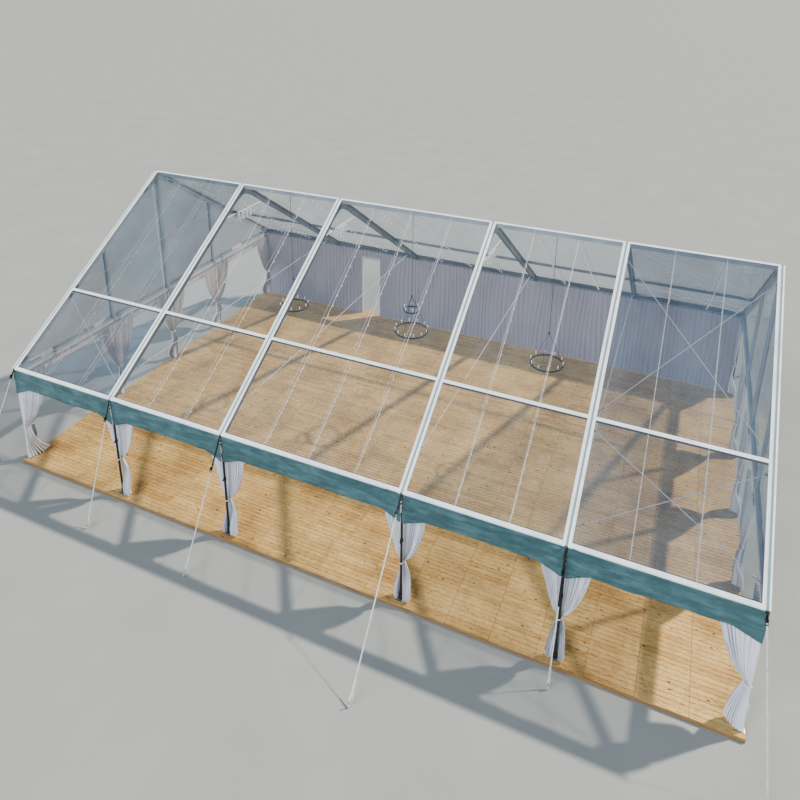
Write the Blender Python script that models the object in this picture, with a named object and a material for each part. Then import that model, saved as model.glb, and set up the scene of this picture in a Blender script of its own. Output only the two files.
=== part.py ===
"""Frame marquee tent with a clear roof, built as an assembly of separate pieces.

Metres. X runs along the length, Y from the front eave (-Y) to the rear eave (+Y), Z is up
from the ground. The middle of the deck stands over the origin.
"""
import math

import bmesh
import bpy
from mathutils import Vector
from mathutils.geometry import tessellate_polygon

# Main sizes
SPAN = 15.0
END_BAY = 4.25
MIDDLE_BAY = 5.75
DECK_THICKNESS = 0.12
DECK_END_MARGIN = 0.12
DECK_SIDE_MARGIN = 0.18
EAVE_HEIGHT = 3.58
RIDGE_HEIGHT = 8.62
PURLIN_SHARE = 0.644

# Sections of the frame
FIT_GAP = 0.0004
SKIN_THICKNESS = 0.012
RAFTER_WIDTH = 0.10
RAFTER_DEPTH = 0.20
APEX_HAUNCH_REACH = 0.60
APEX_HAUNCH_DEPTH = 0.16
APEX_PLATE_WIDTH = 0.20
COLUMN_SIZE = 0.08
COLUMN_SIDES = 12
COLUMN_INSET = 0.02
BASE_PLATE_SIZE = 0.20
BASE_PLATE_THICKNESS = 0.012
PURLIN_SIZE = 0.08
RIDGE_BEAM_WIDTH = 0.12
RIDGE_BEAM_DEPTH = 0.12
EAVE_BEAM_WIDTH = 0.10
EAVE_BEAM_DEPTH = 0.12
EAVE_BEAM_STEP = 0.005
SKIN_OVERHANG = 0.025

# Gable ends
GABLE_BEAM_DEPTH = 0.16
GABLE_FRAME_THICKNESS = 0.08
GABLE_POST_OFFSET = 3.1
GABLE_POST_WIDTH = 0.07
KING_POST_WIDTH = 0.12
GABLE_FOOT_WIDTH = 0.20
PANEL_THICKNESS = 0.010

# Valances
VALANCE_BOTTOM = 2.88
VALANCE_LEG_BOTTOM = 2.64
VALANCE_LEG_REACH = 0.60
VALANCE_LEG_TIP = 0.06
VALANCE_THICKNESS = 0.010
GABLE_VALANCE_BOTTOM = 2.90
SLOT_WIDTH = 0.09
SLOT_DEPTH = 0.14
SLOT_END_STRIP = 0.012

# Cables, straps and stakes
CABLE_SIZE = 0.014
BRACE_DEPTH = 0.14
BRACE_PLATE_WIDTH = 0.03
BRACE_PLATE_LENGTH = 0.08
BRACE_TOP_PLACE = 0.55
BRACE_PURLIN_REACH = 0.22
BRACE_EAVE_REACH = 0.50
TIE_HEIGHT = 4.0
TIE_LUG_LENGTH = 0.20
TIE_LUG_WIDTH = 0.03
STRAP_WIDTH = 0.05
STRAP_THICKNESS = 0.006
STRAP_LUG_REACH = 0.05
STRAP_LUG_HEIGHT = 0.06
STRAP_LUG_DROP = 0.03
STAKE_WIDTH = 0.03
STAKE_HEIGHT = 0.24
STRAP_FOOT_HEIGHT = 0.06

# Each stake's distance out from the eave, then its shift along the eave, from left to right
STAKE_PLACES = (
    (1.65, -0.48),
    (1.55, 0.07),
    (1.75, -0.23),
    (3.12, 0.05),
    (0.77, 0.0),
    (1.65, 0.48),
)

# Curtains and rear drape
CURTAIN_THICKNESS = 0.12
CURTAIN_CLEARANCE = 0.004
CURTAIN_HEAD_HEIGHT = 0.08
FRONT_CURTAIN_REACH = 0.58
GABLE_CURTAIN_REACH = 0.90
CORNER_CURTAIN_REACH = 0.80
CURTAIN_HIP_HEIGHT = 2.0
CURTAIN_HIP_SHARE = 0.86
CURTAIN_WAIST_HEIGHT = 1.62
CURTAIN_WAIST_SHARE = 0.58
CURTAIN_TIE_HEIGHT = 1.28
CURTAIN_TIE_REACH = 0.12
CURTAIN_FOOT_REACH = 0.27
REAR_DRAPE_THICKNESS = 0.03
DOORWAY_CENTRE = -5.18
DOORWAY_WIDTH = 0.95
DOORWAY_HEIGHT = 3.05

HALF_SPAN = SPAN / 2
DECK_TOP = DECK_THICKNESS
EAVE_Z = DECK_TOP + EAVE_HEIGHT
RIDGE_Z = DECK_TOP + RIDGE_HEIGHT
PITCH = math.atan2(RIDGE_Z - EAVE_Z, HALF_SPAN)
SLOPE_LENGTH = math.hypot(HALF_SPAN, RIDGE_Z - EAVE_Z)
PURLIN_PLACE = PURLIN_SHARE * SLOPE_LENGTH
BAYS = (END_BAY, END_BAY, MIDDLE_BAY, END_BAY, END_BAY)
HALF_LENGTH = sum(BAYS) / 2
FRAME_X = tuple(sum(BAYS[:count]) - HALF_LENGTH for count in range(len(BAYS) + 1))
INNER_FRAMES = FRAME_X[1:-1]
FRAME_TOP = SKIN_THICKNESS + FIT_GAP
FRAME_BOTTOM = FRAME_TOP + RAFTER_DEPTH
COLUMN_OUTER = HALF_SPAN - COLUMN_INSET
COLUMN_MIDDLE = COLUMN_OUTER - COLUMN_SIZE / 2
COLUMN_INNER = COLUMN_OUTER - COLUMN_SIZE
EAVE_BEAM_OUTER = COLUMN_OUTER + EAVE_BEAM_STEP
EAVE_BEAM_INNER = EAVE_BEAM_OUTER - EAVE_BEAM_WIDTH
BASE_PLATE_INNER = COLUMN_MIDDLE - BASE_PLATE_SIZE / 2
CURTAIN_PLANE = BASE_PLATE_INNER - CURTAIN_CLEARANCE
REAR_DRAPE_PLACE = CURTAIN_PLANE - REAR_DRAPE_THICKNESS
FRONT = -1
REAR = 1

DARK_ALUMINIUM = (0.16, 0.165, 0.18)
TEAL_VINYL = (0.09, 0.20, 0.20)
SHEER = (0.78, 0.77, 0.82)
PINE = (0.62, 0.45, 0.27)
STEEL = (0.40, 0.41, 0.43)
STRAP_WHITE = (0.80, 0.79, 0.74)
CLEAR = (0.80, 0.90, 0.95)


def clear_scene():
    for item in list(bpy.data.objects):
        bpy.data.objects.remove(item, do_unlink=True)


def finish(name, mesh, colour, metallic=0.0, roughness=0.5, transmission=0.0):
    """Put one closed mesh into the scene under its name, with its own material."""
    work = bmesh.new()
    work.from_mesh(mesh)
    bmesh.ops.recalc_face_normals(work, faces=work.faces)
    work.to_mesh(mesh)
    work.free()
    item = bpy.data.objects.new(name, mesh)
    bpy.context.scene.collection.objects.link(item)
    material = bpy.data.materials.new(name + "_finish")
    material.use_nodes = True
    shader = material.node_tree.nodes["Principled BSDF"]
    shader.inputs["Base Color"].default_value = (*colour, 1.0)
    shader.inputs["Metallic"].default_value = metallic
    shader.inputs["Roughness"].default_value = roughness
    shader.inputs["Transmission Weight"].default_value = transmission
    mesh.materials.append(material)
    return item


def prism(name, outline, along, low, high):
    """Return a closed mesh: a flat outline drawn in the other two axes, from low to high."""
    work = bmesh.new()
    rings = []
    for place in (low, high):
        ring = []
        for first, second in outline:
            if along == "x":
                corner = (place, first, second)
            elif along == "y":
                corner = (first, place, second)
            else:
                corner = (first, second, place)
            ring.append(work.verts.new(corner))
        rings.append(ring)
    count = len(outline)
    work.faces.new(rings[0])
    work.faces.new(list(reversed(rings[1])))
    for index in range(count):
        after = (index + 1) % count
        work.faces.new((rings[0][index], rings[1][index], rings[1][after], rings[0][after]))
    mesh = bpy.data.meshes.new(name)
    work.to_mesh(mesh)
    work.free()
    return mesh


def stacked_rings(name, rings):
    """Return a closed mesh that joins rings of as many corners each, from low to high."""
    work = bmesh.new()
    made = []
    for ring in rings:
        made.append([work.verts.new(corner) for corner in ring])
    work.faces.new(list(reversed(made[0])))
    for lower, upper in zip(made, made[1:]):
        count = len(lower)
        for index in range(count):
            after = (index + 1) % count
            work.faces.new((lower[index], lower[after], upper[after], upper[index]))
    work.faces.new(made[-1])
    mesh = bpy.data.meshes.new(name)
    work.to_mesh(mesh)
    work.free()
    return mesh


def slope_point(side, distance, depth):
    """Y and Z of a point so far down the roof from the ridge and so deep under its surface."""
    y = distance * math.cos(PITCH) - depth * math.sin(PITCH)
    z = RIDGE_Z - distance * math.sin(PITCH) - depth * math.cos(PITCH)
    return side * y, z


def roof_height(y, depth):
    """Height over the ground of the surface so deep under the roof, at a Y."""
    return RIDGE_Z - abs(y) * math.tan(PITCH) - depth / math.cos(PITCH)


def deck():
    half_x = HALF_LENGTH + DECK_END_MARGIN
    half_y = HALF_SPAN + DECK_SIDE_MARGIN
    outline = [(-half_x, -half_y), (half_x, -half_y), (half_x, half_y), (-half_x, half_y)]
    finish("plank_deck", prism("plank_deck", outline, "z", 0.0, DECK_TOP), PINE)


def columns():
    """Round columns on square base plates, cut to the slope of the rafters at the top."""
    low = DECK_TOP + FIT_GAP
    plate_top = low + BASE_PLATE_THICKNESS
    plate = BASE_PLATE_SIZE / 2
    radius = COLUMN_SIZE / 2
    for side, word in ((FRONT, "front"), (REAR, "rear")):
        for number, x in enumerate(FRAME_X, 1):
            square = []
            circle = []
            for step in range(COLUMN_SIDES):
                angle = 2 * math.pi * (step + 0.5) / COLUMN_SIDES
                across = math.cos(angle)
                along = math.sin(angle)
                reach = plate / max(abs(across), abs(along))
                square.append((x + reach * across, side * COLUMN_MIDDLE + reach * along))
                circle.append((x + radius * across, side * COLUMN_MIDDLE + radius * along))
            rings = [[(*corner, low) for corner in square]]
            rings.append([(*corner, plate_top) for corner in square])
            rings.append([(*corner, plate_top) for corner in circle])
            rings.append([(*corner, roof_height(corner[1], FRAME_BOTTOM + FIT_GAP)) for corner in circle])
            name = f"{word}_column_{number}"
            finish(name, stacked_rings(name, rings), DARK_ALUMINIUM, 1.0, 0.4)


def rafter_outline():
    """Outline of one pair of rafters, with the seats for the eave beams, purlins and ridge."""
    seat_top = FRAME_TOP
    notch = PURLIN_SIZE / 2 + FIT_GAP
    floor = FRAME_TOP + PURLIN_SIZE + FIT_GAP
    beam_seat = EAVE_BEAM_INNER - FIT_GAP
    beam_bottom = eave_beam_bottom() - FIT_GAP
    ridge_half = RIDGE_BEAM_WIDTH / 2 + FIT_GAP
    ridge_floor = ridge_beam_bottom() - FIT_GAP
    haunch = APEX_HAUNCH_REACH
    half = [
        (-haunch, roof_height(haunch, FRAME_BOTTOM)),
        (-COLUMN_OUTER, roof_height(COLUMN_OUTER, FRAME_BOTTOM)),
        (-COLUMN_OUTER, beam_bottom),
        (-beam_seat, beam_bottom),
        (-beam_seat, roof_height(beam_seat, seat_top)),
        slope_point(FRONT, PURLIN_PLACE + notch, seat_top),
        slope_point(FRONT, PURLIN_PLACE + notch, floor),
        slope_point(FRONT, PURLIN_PLACE - notch, floor),
        slope_point(FRONT, PURLIN_PLACE - notch, seat_top),
        (-ridge_half, roof_height(ridge_half, seat_top)),
        (-ridge_half, ridge_floor),
    ]
    low = roof_height(0.0, FRAME_BOTTOM) - APEX_HAUNCH_DEPTH
    plate = APEX_PLATE_WIDTH / 2
    return [(-plate, low)] + half + [(-y, z) for y, z in reversed(half)] + [(plate, low)]


def eave_beam_bottom():
    return roof_height(EAVE_BEAM_OUTER, FRAME_TOP) - EAVE_BEAM_DEPTH


def ridge_beam_bottom():
    return roof_height(RIDGE_BEAM_WIDTH / 2, FRAME_TOP) - RIDGE_BEAM_DEPTH


def rafters():
    outline = rafter_outline()
    for number, x in enumerate(FRAME_X, 1):
        name = f"rafter_pair_{number}"
        half = RAFTER_WIDTH / 2
        finish(name, prism(name, outline, "x", x - half, x + half), DARK_ALUMINIUM, 1.0, 0.4)


def long_members():
    end = HALF_LENGTH + RAFTER_WIDTH / 2
    half = RIDGE_BEAM_WIDTH / 2
    low = ridge_beam_bottom()
    ridge = [
        (-half, low), (half, low), (half, roof_height(half, FRAME_TOP)),
        (0.0, roof_height(0.0, FRAME_TOP)), (-half, roof_height(half, FRAME_TOP)),
    ]
    finish("ridge_beam", prism("ridge_beam", ridge, "x", -end, end), DARK_ALUMINIUM, 1.0, 0.4)
    for side, word in ((FRONT, "front"), (REAR, "rear")):
        purlin = []
        for distance, depth in ((-1, 0), (1, 0), (1, 1), (-1, 1)):
            place = PURLIN_PLACE + distance * PURLIN_SIZE / 2
            purlin.append(slope_point(side, place, FRAME_TOP + depth * PURLIN_SIZE))
        name = f"{word}_purlin"
        finish(name, prism(name, purlin, "x", -end, end), DARK_ALUMINIUM, 1.0, 0.4)
        low = eave_beam_bottom()
        beam = []
        for y in (EAVE_BEAM_INNER, EAVE_BEAM_OUTER):
            beam.append((side * y, roof_height(y, FRAME_TOP)))
        beam += [(side * EAVE_BEAM_OUTER, low), (side * EAVE_BEAM_INNER, low)]
        name = f"{word}_eave_beam"
        finish(name, prism(name, beam, "x", -end, end), DARK_ALUMINIUM, 1.0, 0.4)


def roof_skins():
    end = HALF_LENGTH + RAFTER_WIDTH / 2 + SKIN_OVERHANG
    for side, word in ((FRONT, "front"), (REAR, "rear")):
        top = FIT_GAP / 2
        outline = [
            (side * top, roof_height(top, 0.0)),
            slope_point(side, SLOPE_LENGTH, 0.0),
            slope_point(side, SLOPE_LENGTH, SKIN_THICKNESS),
            (side * top, roof_height(top, SKIN_THICKNESS)),
        ]
        name = f"{word}_roof_skin"
        finish(name, prism(name, outline, "x", -end, end), CLEAR, 0.0, 0.08, 0.9)


def gable_beam_top():
    """Height of the gable beam's top, which meets the undersides of the rafters at the columns."""
    return roof_height(COLUMN_INNER, FRAME_BOTTOM + FIT_GAP)


def gable_frame_outline():
    """Outline of one gable frame: the eave-level beam crossed by its three posts."""
    top = gable_beam_top()
    low = top - GABLE_BEAM_DEPTH
    floor = DECK_TOP + FIT_GAP
    end = COLUMN_INNER - FIT_GAP
    foot_top = floor + BASE_PLATE_THICKNESS
    posts = (
        (-GABLE_POST_OFFSET, GABLE_POST_WIDTH / 2),
        (0.0, KING_POST_WIDTH / 2),
        (GABLE_POST_OFFSET, GABLE_POST_WIDTH / 2),
    )
    outline = [(-end, top), (-end, low)]
    for y, half in posts:
        foot = GABLE_FOOT_WIDTH / 2
        outline += [
            (y - half, low), (y - half, foot_top), (y - foot, foot_top), (y - foot, floor),
            (y + foot, floor), (y + foot, foot_top), (y + half, foot_top), (y + half, low),
        ]
    outline += [(end, low), (end, top)]
    for y, half in reversed(posts):
        tops = []
        for edge in (y + half, y - half):
            if y == 0.0:
                height = roof_height(0.0, FRAME_BOTTOM) - APEX_HAUNCH_DEPTH - FIT_GAP
            else:
                height = roof_height(edge, FRAME_BOTTOM + FIT_GAP)
            tops.append((edge, height))
        outline += [(y + half, top)] + tops + [(y - half, top)]
    return outline


def gable_ends():
    panel_low = gable_beam_top()
    panel = [(-COLUMN_OUTER, panel_low), (COLUMN_OUTER, panel_low)]
    panel += [
        (COLUMN_OUTER, roof_height(COLUMN_OUTER, FRAME_TOP)),
        (0.0, roof_height(0.0, FRAME_TOP)),
        (-COLUMN_OUTER, roof_height(COLUMN_OUTER, FRAME_TOP)),
    ]
    low = DECK_TOP + GABLE_VALANCE_BOTTOM
    high = panel_low - FIT_GAP
    valance = [(-COLUMN_OUTER, low), (COLUMN_OUTER, low), (COLUMN_OUTER, high), (-COLUMN_OUTER, high)]
    for side, word in ((-1, "left"), (1, "right")):
        x = side * HALF_LENGTH
        half = GABLE_FRAME_THICKNESS / 2
        name = f"{word}_gable_frame"
        mesh = prism(name, gable_frame_outline(), "x", x - half, x + half)
        finish(name, mesh, DARK_ALUMINIUM, 1.0, 0.4)
        inner = side * (HALF_LENGTH + RAFTER_WIDTH / 2 + FIT_GAP)
        outer = inner + side * PANEL_THICKNESS
        name = f"{word}_gable_panel"
        finish(name, prism(name, panel, "x", inner, outer), CLEAR, 0.0, 0.08, 0.9)
        name = f"{word}_valance"
        finish(name, prism(name, valance, "x", inner, outer), TEAL_VINYL, 0.0, 0.45)


def valance_outline():
    """Outline of an eave valance, with a leg at each column and a slot for each strap lug."""
    top = roof_height(EAVE_BEAM_OUTER, SKIN_THICKNESS) - FIT_GAP - VALANCE_THICKNESS
    low = DECK_TOP + VALANCE_BOTTOM
    tip = DECK_TOP + VALANCE_LEG_BOTTOM
    end = HALF_LENGTH + RAFTER_WIDTH / 2
    last = len(FRAME_X) - 1
    bottom = []
    for number, x in enumerate(FRAME_X):
        if number > 0:
            bottom += [(x - VALANCE_LEG_REACH, low), (x - VALANCE_LEG_TIP, tip)]
        else:
            bottom += [(-end, tip)]
        if number < last:
            bottom += [(x + VALANCE_LEG_TIP, tip), (x + VALANCE_LEG_REACH, low)]
        else:
            bottom += [(end, tip)]
    upper = [(-end, top)]
    half = SLOT_WIDTH / 2
    for number, x in enumerate(FRAME_X):
        left = x - half
        right = x + half
        if number == 0:
            left = -end + SLOT_END_STRIP
        if number == last:
            right = end - SLOT_END_STRIP
        upper += [(left, top), (left, top - SLOT_DEPTH), (right, top - SLOT_DEPTH), (right, top)]
    upper += [(end, top)]
    return bottom + list(reversed(upper))


def eave_valances():
    inner = EAVE_BEAM_OUTER + FIT_GAP
    outer = inner + VALANCE_THICKNESS
    for side, word in ((FRONT, "front"), (REAR, "rear")):
        name = f"{word}_valance"
        mesh = prism(name, valance_outline(), "y", side * inner, side * outer)
        finish(name, mesh, TEAL_VINYL, 0.0, 0.45)


def brace_loops(left, right, plate, places, half_cable, half_plate):
    """Outer edge and middle hole of two crossed pairs of cables that share their plates.

    The first number of each point is X and the second the distance down the roof. The places
    are the upper and lower ends of the upper cross, then those of the lower cross.
    """
    middle = (left + right) / 2
    run = right - left
    outer_left = left - plate
    outer_right = right + plate
    top, upper_end, lower_start, low = places
    crosses = ((top, upper_end), (lower_start, low))
    plates = ((top, top), (upper_end, lower_start), (low, low))
    right_side = []
    for number, (first, last) in enumerate(plates):
        if number > 0:
            right_side += [(right, first - half_cable)]
        right_side += [
            (right, first - half_plate), (outer_right, first - half_plate),
            (outer_right, last + half_plate), (right, last + half_plate),
        ]
        if number < 2:
            start, end = crosses[number]
            slant = (end - start) / run
            notch = (end - start - 2 * half_cable) / (2 * slant)
            right_side += [(right, last + half_cable), (right - notch, (start + end) / 2)]
    left_side = [(left + right - x, place) for x, place in right_side]
    left_side = [(max(x, outer_left), place) for x, place in left_side]
    outer = [(middle, (top + upper_end) / 2 - half_cable), (right, top - half_cable)]
    outer += right_side
    outer += [(right, low + half_cable), (middle, (lower_start + low) / 2 + half_cable)]
    outer += [(left, low + half_cable)] + list(reversed(left_side)) + [(left, top - half_cable)]
    inner = [
        (left, upper_end + half_cable), (middle, (top + upper_end) / 2 + half_cable),
        (right, upper_end + half_cable), (right, lower_start - half_cable),
        (middle, (lower_start + low) / 2 - half_cable), (left, lower_start - half_cable),
    ]
    return [outer, inner]


def roof_lattice(name, side, loops, depths):
    """Return a closed mesh of a flat lattice under one roof slope, between two depths."""
    flat = [[Vector((x, place, 0.0)) for x, place in loop] for loop in loops]
    triangles = tessellate_polygon(flat)
    work = bmesh.new()
    layers = []
    for depth in depths:
        layer = []
        for loop in loops:
            for x, place in loop:
                y, z = slope_point(side, place, depth)
                layer.append(work.verts.new((x, y, z)))
        layers.append(layer)
    for one, two, three in triangles:
        work.faces.new((layers[0][one], layers[0][two], layers[0][three]))
        work.faces.new((layers[1][three], layers[1][two], layers[1][one]))
    start = 0
    for loop in loops:
        count = len(loop)
        for index in range(count):
            here = start + index
            after = start + (index + 1) % count
            work.faces.new((layers[0][here], layers[1][here], layers[1][after], layers[0][after]))
        start += count
    mesh = bpy.data.meshes.new(name)
    work.to_mesh(mesh)
    work.free()
    return mesh


def roof_bracing():
    """Crossed cables of the end bays, over and under the purlin, with plates on the rafters."""
    places = (
        BRACE_TOP_PLACE,
        PURLIN_PLACE - BRACE_PURLIN_REACH,
        PURLIN_PLACE + BRACE_PURLIN_REACH,
        SLOPE_LENGTH - BRACE_EAVE_REACH,
    )
    depths = (BRACE_DEPTH - CABLE_SIZE / 2, BRACE_DEPTH + CABLE_SIZE / 2)
    wall = RAFTER_WIDTH / 2 + FIT_GAP + BRACE_PLATE_WIDTH
    left_bay = (FRAME_X[0] + wall, FRAME_X[1] - wall)
    right_bay = (FRAME_X[4] + wall, FRAME_X[5] - wall)
    for along, (left, right) in (("left", left_bay), ("right", right_bay)):
        loops = brace_loops(
            left, right, BRACE_PLATE_WIDTH, places, CABLE_SIZE / 2, BRACE_PLATE_LENGTH / 2)
        for side, word in ((FRONT, "front"), (REAR, "rear")):
            name = f"{along}_{word}_roof_bracing"
            mesh = roof_lattice(name, side, loops, depths)
            finish(name, mesh, STEEL, 1.0, 0.35)


def tie_cables():
    """Level cables across the interior frames, from rafter to rafter just over the eaves."""
    z = DECK_TOP + TIE_HEIGHT
    half = CABLE_SIZE / 2
    end = (RIDGE_Z - (FRAME_BOTTOM + FIT_GAP) / math.cos(PITCH) - z) / math.tan(PITCH)
    lug = end - TIE_LUG_LENGTH
    outer = end + half / math.tan(PITCH)
    front_end = [
        (-lug, z + half),
        (-lug, roof_height(lug, FRAME_BOTTOM + FIT_GAP)),
        (-outer, z - half),
    ]
    outline = front_end + [(-y, height) for y, height in reversed(front_end)]
    for number, x in enumerate(INNER_FRAMES, 1):
        name = f"tie_cable_{number}"
        wide = TIE_LUG_WIDTH / 2
        finish(name, prism(name, outline, "x", x - wide, x + wide), STEEL, 1.0, 0.35)


def guys():
    """Ratchet straps from the eaves down to their ground stakes."""
    face = EAVE_BEAM_OUTER + FIT_GAP
    lug_top = roof_height(EAVE_BEAM_OUTER, FRAME_TOP) - STRAP_LUG_DROP
    lug_low = lug_top - STRAP_LUG_HEIGHT
    lug_out = face + STRAP_LUG_REACH
    half = STAKE_WIDTH / 2
    foot = STRAP_FOOT_HEIGHT
    for side, word in ((FRONT, "front"), (REAR, "rear")):
        for number, (x, (distance, shift)) in enumerate(zip(FRAME_X, STAKE_PLACES), 1):
            stake = HALF_SPAN + distance
            run = (lug_low - foot) / (stake - half - lug_out)
            drop = STRAP_THICKNESS * math.hypot(1.0, run)
            outline = [
                (face, lug_low), (face, lug_top), (lug_out, lug_top),
                (lug_out, lug_low),
                (stake - half, foot), (stake - half, STAKE_HEIGHT),
                (stake + half, STAKE_HEIGHT), (stake + half, 0.0), (stake - half, 0.0),
                (stake - half, foot - drop),
                (lug_out, lug_low - drop), (lug_out - STRAP_THICKNESS, lug_low),
            ]
            name = f"{word}_guy_{number}"
            placed = [(side * y, z) for y, z in outline]
            mesh = prism(name, placed, "x", x - STRAP_WIDTH / 2, x + STRAP_WIDTH / 2)
            for corner in mesh.vertices:
                corner.co.x += shift * (abs(corner.co.y) - face) / (stake - face)
            finish(name, mesh, STRAP_WHITE, 0.0, 0.6)


def curtain_head_top():
    """Height of the heads of the eave curtains, which hang under the ends of the rafters."""
    return roof_height(CURTAIN_PLANE, FRAME_BOTTOM) - FIT_GAP


def curtain_edge(reach, head_low):
    """Free edge of one tied-back curtain: how far out from its post at each height, from the top."""
    return [
        (reach, head_low),
        (reach * CURTAIN_HIP_SHARE, DECK_TOP + CURTAIN_HIP_HEIGHT),
        (reach * CURTAIN_WAIST_SHARE, DECK_TOP + CURTAIN_WAIST_HEIGHT),
        (CURTAIN_TIE_REACH, DECK_TOP + CURTAIN_TIE_HEIGHT),
        (CURTAIN_FOOT_REACH, DECK_TOP + FIT_GAP),
    ]


def bunch(centre, reach, head_low):
    """Lower edge, from left to right, of one pair of curtains tied back to a post."""
    half = curtain_edge(reach, head_low)
    left = [(centre - out, height) for out, height in half]
    right = [(centre + out, height) for out, height in reversed(half)]
    return left + right


def corner_bunch(corner, inward, head_low):
    """One curtain tied back into a corner, from the corner post outwards."""
    edge = [(corner, DECK_TOP + FIT_GAP)]
    for out, height in reversed(curtain_edge(CORNER_CURTAIN_REACH, head_low)):
        edge.append((corner + inward * out, height))
    return edge


def curtains():
    """Tied-back curtains inside the front columns and inside the gable posts."""
    head_top = curtain_head_top()
    head_low = head_top - CURTAIN_HEAD_HEIGHT
    end = HALF_LENGTH - GABLE_FRAME_THICKNESS / 2 - CURTAIN_CLEARANCE
    outer = CURTAIN_PLANE
    outline = [(-end, head_top)] + corner_bunch(-end, 1, head_low)
    for x in INNER_FRAMES:
        outline += bunch(x, FRONT_CURTAIN_REACH, head_low)
    outline += list(reversed(corner_bunch(end, -1, head_low))) + [(end, head_top)]
    mesh = prism("front_curtains", outline, "y", -outer, -outer + CURTAIN_THICKNESS)
    finish("front_curtains", mesh, SHEER, 0.0, 0.8)
    head_top = gable_beam_top() - GABLE_BEAM_DEPTH - FIT_GAP
    head_low = head_top - CURTAIN_HEAD_HEIGHT
    front_end = -outer + CURTAIN_THICKNESS + CURTAIN_CLEARANCE
    rear_end = REAR_DRAPE_PLACE - CURTAIN_CLEARANCE
    outline = [(front_end, head_top), (front_end, head_low)]
    for y in (-GABLE_POST_OFFSET, 0.0, GABLE_POST_OFFSET):
        outline += bunch(y, GABLE_CURTAIN_REACH, head_low)
    outline += list(reversed(corner_bunch(rear_end, -1, head_low))) + [(rear_end, head_top)]
    for side, word in ((-1, "left"), (1, "right")):
        face = side * (HALF_LENGTH - GABLE_FRAME_THICKNESS / 2 - CURTAIN_CLEARANCE)
        name = f"{word}_gable_curtains"
        mesh = prism(name, outline, "x", face - side * CURTAIN_THICKNESS, face)
        finish(name, mesh, SHEER, 0.0, 0.8)


def rear_drape():
    """Closed drape along the rear, hung under the rafters, with its doorway."""
    top = curtain_head_top()
    floor = DECK_TOP + FIT_GAP
    end = HALF_LENGTH - GABLE_FRAME_THICKNESS / 2 - CURTAIN_CLEARANCE
    half = DOORWAY_WIDTH / 2
    head = DECK_TOP + DOORWAY_HEIGHT
    outline = [
        (-end, floor), (DOORWAY_CENTRE - half, floor), (DOORWAY_CENTRE - half, head),
        (DOORWAY_CENTRE + half, head), (DOORWAY_CENTRE + half, floor), (end, floor),
        (end, top), (-end, top),
    ]
    inner = REAR_DRAPE_PLACE
    mesh = prism("rear_drape", outline, "y", inner, inner + REAR_DRAPE_THICKNESS)
    finish("rear_drape", mesh, SHEER, 0.0, 0.8)


clear_scene()
deck()
columns()
rafters()
long_members()
roof_skins()
gable_ends()
eave_valances()
roof_bracing()
tie_cables()
guys()
curtains()
rear_drape()
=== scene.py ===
"""Frame marquee tent with a clear roof: its finishes and detail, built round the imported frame.

Metres. X runs along the length, Y from the front eave (-Y) to the rear eave (+Y), Z is up.
"""
import math
import random

import bmesh
import bpy
from mathutils import Matrix, Vector, noise


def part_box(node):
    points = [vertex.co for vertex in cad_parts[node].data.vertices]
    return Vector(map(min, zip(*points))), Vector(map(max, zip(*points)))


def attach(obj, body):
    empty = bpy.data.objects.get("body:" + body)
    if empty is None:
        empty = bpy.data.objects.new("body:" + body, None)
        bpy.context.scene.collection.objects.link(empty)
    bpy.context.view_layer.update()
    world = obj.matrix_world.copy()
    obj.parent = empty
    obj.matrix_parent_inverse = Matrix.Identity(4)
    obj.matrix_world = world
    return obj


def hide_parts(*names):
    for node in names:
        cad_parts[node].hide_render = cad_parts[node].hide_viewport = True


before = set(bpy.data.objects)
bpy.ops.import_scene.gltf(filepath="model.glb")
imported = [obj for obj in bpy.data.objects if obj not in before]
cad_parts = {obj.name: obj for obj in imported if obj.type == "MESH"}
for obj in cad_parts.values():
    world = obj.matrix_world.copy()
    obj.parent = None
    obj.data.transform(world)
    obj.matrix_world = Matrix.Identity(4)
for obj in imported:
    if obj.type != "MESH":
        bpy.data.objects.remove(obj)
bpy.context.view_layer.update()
scene = bpy.context.scene
dice = random.Random(11)

# Main sizes, as in the part's source
FRAME_X = (-11.375, -7.125, -2.875, 2.875, 7.125, 11.375)
HALF_SPAN = 7.5
EAVE_Z = 3.70
RIDGE_Z = 8.74
DECK_TOP = 0.12
SLOPE = math.hypot(HALF_SPAN, RIDGE_Z - EAVE_Z)
RUN = HALF_SPAN / SLOPE
FALL = (RIDGE_Z - EAVE_Z) / SLOPE
PURLIN_PLACE = 0.644 * SLOPE
RAFTER_HALF = 0.05
FILM_DEPTH = 0.005
SIDES = (("front", -1), ("rear", 1))
ENDS = (("left", -1), ("right", 1))
UP = Vector((0, 0, 1))


# Places

def on_slope(side, x, place, depth=0.0):
    """A point of the roof: metres down the slope from the ridge, metres under its outer face."""
    return Vector((x, side * (place * RUN - depth * FALL), RIDGE_Z - place * FALL - depth * RUN))


def ease(value):
    """A smooth step from 0 to 1."""
    value = min(1.0, max(0.0, value))
    return value * value * (3 - 2 * value)


def blend(low, high, share):
    return low + (high - low) * share


def reach_at(fall, foot, rise, drop, late=False):
    """How far a tied curtain reaches from its post: by its fall over the tie, or by its foot under the tie."""
    if rise < 0:
        share = min(1.0, -rise / drop)
        return blend(fall[-1][1], foot, share ** 2.2 if late else 1 - (1 - share) ** 1.6)
    for (high, wide), (low, narrow) in zip(fall, fall[1:]):
        if rise >= low:
            return blend(narrow, wide, min(1.0, (rise - low) / (high - low)))
    return fall[-1][1]


# Materials

def linear(code):
    """An sRGB hex colour as linear RGBA."""
    parts = [int(code[at:at + 2], 16) / 255 for at in (0, 2, 4)]
    return tuple(c / 12.92 if c <= 0.04045 else ((c + 0.055) / 1.055) ** 2.4 for c in parts) + (1.0,)


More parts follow.
